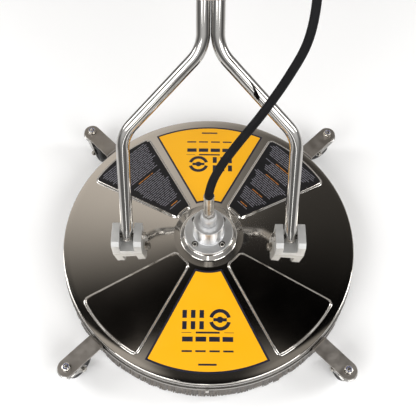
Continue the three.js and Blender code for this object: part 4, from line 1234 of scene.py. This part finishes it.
def make_handle_tube(side, sign):
    path = handle_path(sign)

    def section(index):
        along = min(max(path[index].y / FLATTENED, 0), 1)
        ease = along * along * (3 - 2 * along)
        width = TIP_HALF_WIDTH + (TUBE_RADIUS - TIP_HALF_WIDTH) * ease
        depth = TUBE_RADIUS * (1.1 - 0.1 * ease)
        if path[index].y < 0:
            depth *= math.sqrt(max(1 - (path[index].y / TUBE_TIP) ** 2, 0.001))
        return [(width * math.cos(angle), depth * math.sin(angle))
                for angle in np.linspace(0, 2 * math.pi, 56, endpoint=False)]

    piece(f"tube_{side}", [(swept(path, section), "tube_steel")], f"handle_tube_{side}",
          ON_HANDLE, "handle")


def stadium(radius):
    right = [(PARALLEL_X + radius * math.cos(a), radius * math.sin(a))
             for a in np.linspace(-math.pi / 2, math.pi / 2, 25)]
    left = [(-PARALLEL_X + radius * math.cos(a), radius * math.sin(a))
            for a in np.linspace(math.pi / 2, 1.5 * math.pi, 25)]
    return right + left


def make_band():
    start, end = BAND_START, BAND_END
    rows = []
    for radius, y in ((TUBE_RADIUS + 0.3, start), (TUBE_RADIUS + 2, start),
                      (TUBE_RADIUS + 2.8, start + 1), (TUBE_RADIUS + 2.8, end - 1),
                      (TUBE_RADIUS + 2, end), (TUBE_RADIUS + 0.3, end)):
        rows.append([(x, y, z) for x, z in stadium(radius)])
    band = net(np.array(rows), True, True)
    screw = screw_head(3, 4.5).shifted(0, (start + end) / 2, TUBE_RADIUS + 5)
    piece("joining_band", [(band, "strip_steel"), (screw, "hardware")], "tube_band",
          ON_HANDLE, "handle")


def make_grip(side, sign):
    end = BAR_END + 4
    profile = [(TUBE_RADIUS + 0.4, GRIP_START), (GRIP_RADIUS + 2, GRIP_START, 1.5),
               (GRIP_RADIUS + 3, GRIP_START + 2.5, 1.5), (GRIP_RADIUS + 1, GRIP_START + 6, 1.5)]
    for rib in range(17):
        start = GRIP_START + 10 + rib * 5.8
        profile += [(GRIP_RADIUS - 1.3, start, 0.6), (GRIP_RADIUS, start + 0.9, 0.6),
                    (GRIP_RADIUS, start + 3.9, 0.6), (GRIP_RADIUS - 1.3, start + 4.8, 0.6)]
    profile += [(GRIP_RADIUS, end - 9, 1), (GRIP_RADIUS, end, 4), (0, end)]
    shell = turned([(0, GRIP_START), *soften(profile, 0, False, 2)], 64)
    place = Matrix.Translation((sign * BAR_X, 0, 0)) @ ALONG_Y
    piece(f"handgrip_{side}", [(shell.moved(place), "grip_rubber")], f"grip_{side}",
          ON_HANDLE, "handle")


for side_name, side_sign in (("left", -1), ("right", 1)):
    make_handle_tube(side_name, side_sign)
    make_grip(side_name, side_sign)
make_band()

# ------------------------------------------------------------------ trigger gun
GUN_BASE, GUN_TOP = 26.3, 62
GUN_START, GUN_END = 880, 998
GUN_HALF = 14
GUN_AXIS = 44
OUTLET_START = 862
INLET_Y = 925
TRIGGER_Y, TRIGGER_Z = 984, 52
TRIGGER_HALF = 4.5
TRIGGER_REACH = 108
CLAMP_START, CLAMP_END = 948, 982


def make_gun():
    side = soften([
        (GUN_START, GUN_BASE + 6), (GUN_START + 6, GUN_BASE), (GUN_END, GUN_BASE, 3),
        (GUN_END, GUN_TOP - 4, 4), (GUN_END - 8, GUN_TOP, 5), (GUN_START + 34, GUN_TOP, 20),
        (GUN_START + 14, GUN_TOP - 4, 8), (GUN_START, GUN_TOP - 12, 6)], 2.5, True, 5)
    body = prism(side, BAR_X - GUN_HALF, BAR_X + GUN_HALF, "yzx")
    slot = block((BAR_X - TRIGGER_HALF - 0.6, TRIGGER_Y - 12, 38),
                 (BAR_X + TRIGGER_HALF + 0.6, GUN_END + 5, GUN_TOP + 5))
    seam = block((BAR_X - 0.3, GUN_START - 5, GUN_TOP - 0.8),
                 (BAR_X + 0.3, TRIGGER_Y - 16, GUN_TOP + 5))
    panels = [block((BAR_X + sign * GUN_HALF - 0.8, GUN_START + 14, GUN_BASE + 24),
                    (BAR_X + sign * GUN_HALF + 0.8, GUN_START + 74, GUN_TOP - 6))
              for sign in (-1, 1)]
    shell = carved(body, slot, seam, *panels)
    outlet = lathe([(0, 0), (11, 0, 0.5), (12, 1.5, 0.5), (12, 12, 0.5),
                    (13.4, 14, 0.5), (13.4, 24), (0, 24)], 56, 3)
    to_outlet = Matrix.Translation((BAR_X, OUTLET_START, GUN_AXIS)) @ ALONG_Y
    screws = []
    for y, z in ((GUN_START + 10, GUN_BASE + 9), (GUN_START + 68, GUN_BASE + 8),
                 (GUN_END - 9, GUN_BASE + 8), (GUN_END - 30, GUN_TOP - 8)):
        for sign in (-1, 1):
            head = screw_head(2.2, 3.6).moved(
                Matrix.Translation((BAR_X + sign * (GUN_HALF + 0.4), y, z))
                @ Matrix.Rotation(sign * math.pi / 2, 4, "Y"))
            screws.append(head)
    piece("gun_shell", [(shell, "gun_plastic"), (outlet.moved(to_outlet), "brass")],
          "gun_body", ON_HANDLE, "handle", 0.7)
    piece("gun_screws", [(join(*screws), "hardware")], place=ON_HANDLE, body="handle")

    clamp = prism(soften([(-21, -21, 5), (21, -21, 5), (21, 20, 3), (15, 26, 3), (-15, 26, 3),
                          (-21, 20, 3)], 0, True, 5), CLAMP_START, CLAMP_END, "xzy")
    tube_hole = turned([(0, 930), (16.4, 930), (16.4, 1000), (0, 1000)], 64).moved(ALONG_Y)
    split = block((-22, 940, -0.6), (-15, 990, 0.6))
    clamp_screws = [screw_head(3, 3.6).moved(Matrix.Translation((x, y, -20.2))
                                             @ OVER)
                    for x in (-17.2, 17.2) for y in (CLAMP_START + 8, CLAMP_END - 8)]
    clamp = carved(clamp, tube_hole, split)
    piece("gun_clamp", [(clamp.shifted(BAR_X, 0, 0), "cast_aluminium"),
                        (join(*clamp_screws).shifted(BAR_X, 0, 0), "hardware")],
          "gun_bracket", ON_HANDLE, "handle", 0.6)

    lever = soften([
        (TRIGGER_Y - 7, TRIGGER_Z - 6, 5), (TRIGGER_Y + 6, TRIGGER_Z - 7, 4),
        (TRIGGER_Y + 24, TRIGGER_Z - 1.5, 25), (TRIGGER_Y + 66, TRIGGER_Z - 0.5, 60),
        (TRIGGER_Y + TRIGGER_REACH, TRIGGER_Z + 8, 3),
        (TRIGGER_Y + TRIGGER_REACH - 3, TRIGGER_Z + 14, 4),
        (TRIGGER_Y + 62, TRIGGER_Z + 7, 60), (TRIGGER_Y + 22, TRIGGER_Z + 8, 20),
        (TRIGGER_Y - 6, TRIGGER_Z + 7, 6)], 0, True, 6)
    lever_shell = prism(lever, BAR_X - TRIGGER_HALF, BAR_X + TRIGGER_HALF, "yzx")
    grooves = [block((BAR_X - 3, y, TRIGGER_Z - 3), (BAR_X + 3, y + 2, TRIGGER_Z + 0.6))
               for y in range(TRIGGER_Y + 40, TRIGGER_Y + 88, 6)]
    piece("trigger_lever", [(carved(lever_shell, *grooves), "gun_plastic")], "gun_trigger",
          ON_HANDLE, "trigger", 1.0)
    reach = GUN_HALF + 1
    pin = lathe([(0, -reach), (2.6, -reach, 0.5), (2.6, -reach + 1.2), (2, -reach + 1.2),
                 (2, reach - 1.2), (2.6, reach - 1.2), (2.6, reach, 0.5), (0, reach)], 32, 2)
    to_pin = Matrix.Translation((BAR_X, TRIGGER_Y, TRIGGER_Z)) @ ALONG_X
    piece("lever_pin", [(pin.moved(to_pin), "hardware")], "trigger_pin", ON_HANDLE, "handle")

    coupling = join(hexagon(24, 0, 9, 5), lathe([
        (5, 8), (10.5, 8), (10.5, 12, 0.6), (9.6, 13, 0.4), (9.6, 15.6, 0.4),
        (10.5, 16.6, 0.5), (10.5, 26, 1.2), (6, 26, 0.6), (5, 24)], 56, 3))
    to_inlet = Matrix.Translation((BAR_X + GUN_HALF + 0.3, INLET_Y, GUN_AXIS)) @ ALONG_X
    piece("inlet_coupling", [(coupling.moved(to_inlet), "brass")], "gun_inlet",
          ON_HANDLE, "handle")
    ferrule = join(crimped(0, 43, 12.5), hexagon(24, 0, 18, 9).shifted(0, 0, -18.4))
    to_ferrule = (Matrix.Translation((BAR_X, OUTLET_START - 18.6, GUN_AXIS)) @ ALONG_Y
                  @ OVER)
    piece("upper_crimp", [(ferrule.moved(to_ferrule), "ferrule_steel")], "upper_ferrule",
          ON_HANDLE, "handle")


make_gun()

# ------------------------------------------------------------------ hidden CAD pieces
for node_name, finish_name in (("lower_bearing", "hardware"), ("upper_bearing", "hardware"),
                               ("shaft_seal", "seal_rubber")):
    cad = frame["nodes"][node_name]
    cad.data.materials.clear()
    cad.data.materials.append(MATERIALS[finish_name])


# ------------------------------------------------------------------ floor and light
FLOOR_REACH = 12.0
FADE_START, FADE_END = 1.2, 1.75  # metres from the middle


def make_floor():
    """A pale floor with a painted pool of light: its colour darkens away from the object."""
    mesh = bpy.data.meshes.new("floor")
    mesh.from_pydata([(-FLOOR_REACH, -FLOOR_REACH, 0), (FLOOR_REACH, -FLOOR_REACH, 0),
                      (FLOOR_REACH, FLOOR_REACH, 0), (-FLOOR_REACH, FLOOR_REACH, 0)],
                     [], [[0, 1, 2, 3]])
    made, tree, shader = nodes_of("floor")
    place = tree.nodes.new("ShaderNodeTexCoord")
    far = tree.nodes.new("ShaderNodeVectorMath")
    far.operation = "LENGTH"
    tree.links.new(place.outputs["Object"], far.inputs[0])
    fade = remap(tree, far.outputs["Value"], 0, 1, FADE_START, FADE_END)
    fade.node.interpolation_type = "SMOOTHSTEP"
    tree.links.new(blend_colours(tree, fade, (0.99, 0.99, 0.99), (0.40, 0.398, 0.395)),
                   shader.inputs["Base Color"])
    shader.inputs["Roughness"].default_value = 0.9
    shader.inputs["Specular IOR Level"].default_value = 0.1
    mesh.materials.append(made)
    floor = bpy.data.objects.new("floor", mesh)
    bpy.context.scene.collection.objects.link(floor)


def maths(tree, operation, first, second):
    node = tree.nodes.new("ShaderNodeMath")
    node.operation = operation
    for index, value in enumerate((first, second)):
        if isinstance(value, (int, float)):
            node.inputs[index].default_value = value
        else:
            tree.links.new(value, node.inputs[index])
    return node.outputs[0]


def make_room():
    """A bright room whose ceiling is dark overhead, lighter behind and to the left, with a
    narrow strip of light on either side of the middle that shows in the deck's front edge."""
    world = bpy.data.worlds.new("room")
    bpy.context.scene.world = world
    world.use_nodes = True
    tree = world.node_tree
    background = tree.nodes["Background"]
    place = tree.nodes.new("ShaderNodeTexCoord")
    split = tree.nodes.new("ShaderNodeSeparateXYZ")
    tree.links.new(place.outputs["Generated"], split.inputs[0])
    x, y, z = split.outputs

    def smooth(value, start, end, low, high):
        result = remap(tree, value, low, high, start, end)
        result.node.interpolation_type = "SMOOTHSTEP"
        return result

    behind = smooth(y, 0.22, 0.62, 0.012, 0.74)
    leftward = smooth(x, -0.24, 0.27, 1.0, 0.08)
    ceiling = maths(tree, "MULTIPLY", behind, leftward)
    height = smooth(z, 0.42, 0.74, 0.0, 1.0)
    wall = smooth(z, 0.10, 0.42, 0.22, 0.95)
    low_part = maths(tree, "MULTIPLY", wall, maths(tree, "SUBTRACT", 1.0, height))
    high_part = maths(tree, "MULTIPLY", ceiling, height)
    left_glow = smooth(x, -0.20, -0.08, 0.5, 0.03)
    right_glow = smooth(x, 0.08, 0.20, 0.0, 0.28)
    glow = maths(tree, "ADD", left_glow, right_glow)
    strip = maths(tree, "MULTIPLY", smooth(y, -0.04, 0.05, 0.0, 1.0),
                  smooth(y, 0.115, 0.165, 1.0, 0.0))
    high_part = maths(tree, "ADD", high_part, maths(tree, "MULTIPLY", glow, strip))
    total = maths(tree, "ADD", low_part, high_part)
    tint = tree.nodes.new("ShaderNodeMix")
    tint.data_type = "RGBA"
    tint.inputs["A"].default_value = (1, 1, 1, 1)
    tint.inputs["B"].default_value = (1.0, 0.93, 0.84, 1)
    tree.links.new(height, tint.inputs["Factor"])
    tree.links.new(tint.outputs["Result"], background.inputs["Color"])
    tree.links.new(total, background.inputs["Strength"])


def make_light(name, place, target, size, power, colour=(1, 1, 1)):
    data = bpy.data.lights.new(name, "AREA")
    data.shape = "RECTANGLE"
    data.size, data.size_y = size
    data.energy = power
    data.color = colour
    made = bpy.data.objects.new(name, data)
    bpy.context.scene.collection.objects.link(made)
    made.location = place
    made.rotation_euler = (Vector(target) - Vector(place)).to_track_quat("-Z", "Y").to_euler()


make_floor()
make_room()
make_light("left_softbox", (-2.6, 0.4, 2.0), (0, 0, 0.1), (0.9, 2.4), 30)
make_light("right_softbox", (2.8, 0.2, 2.0), (0, 0, 0.1), (0.6, 2.2), 34)
make_light("front_left_softbox", (-1.7, -2.3, 2.7), (0, 0.35, 0), (1.8, 1.8), 58)
make_light("front_right_softbox", (1.7, -2.3, 2.7), (0, 0.35, 0), (1.8, 1.8), 54)
make_light("front_strip", (-0.1, -3.4, 0.75), (0, 0, 0.5), (0.3, 1.2), 4)
bpy.context.scene.view_settings.view_transform = "Standard"
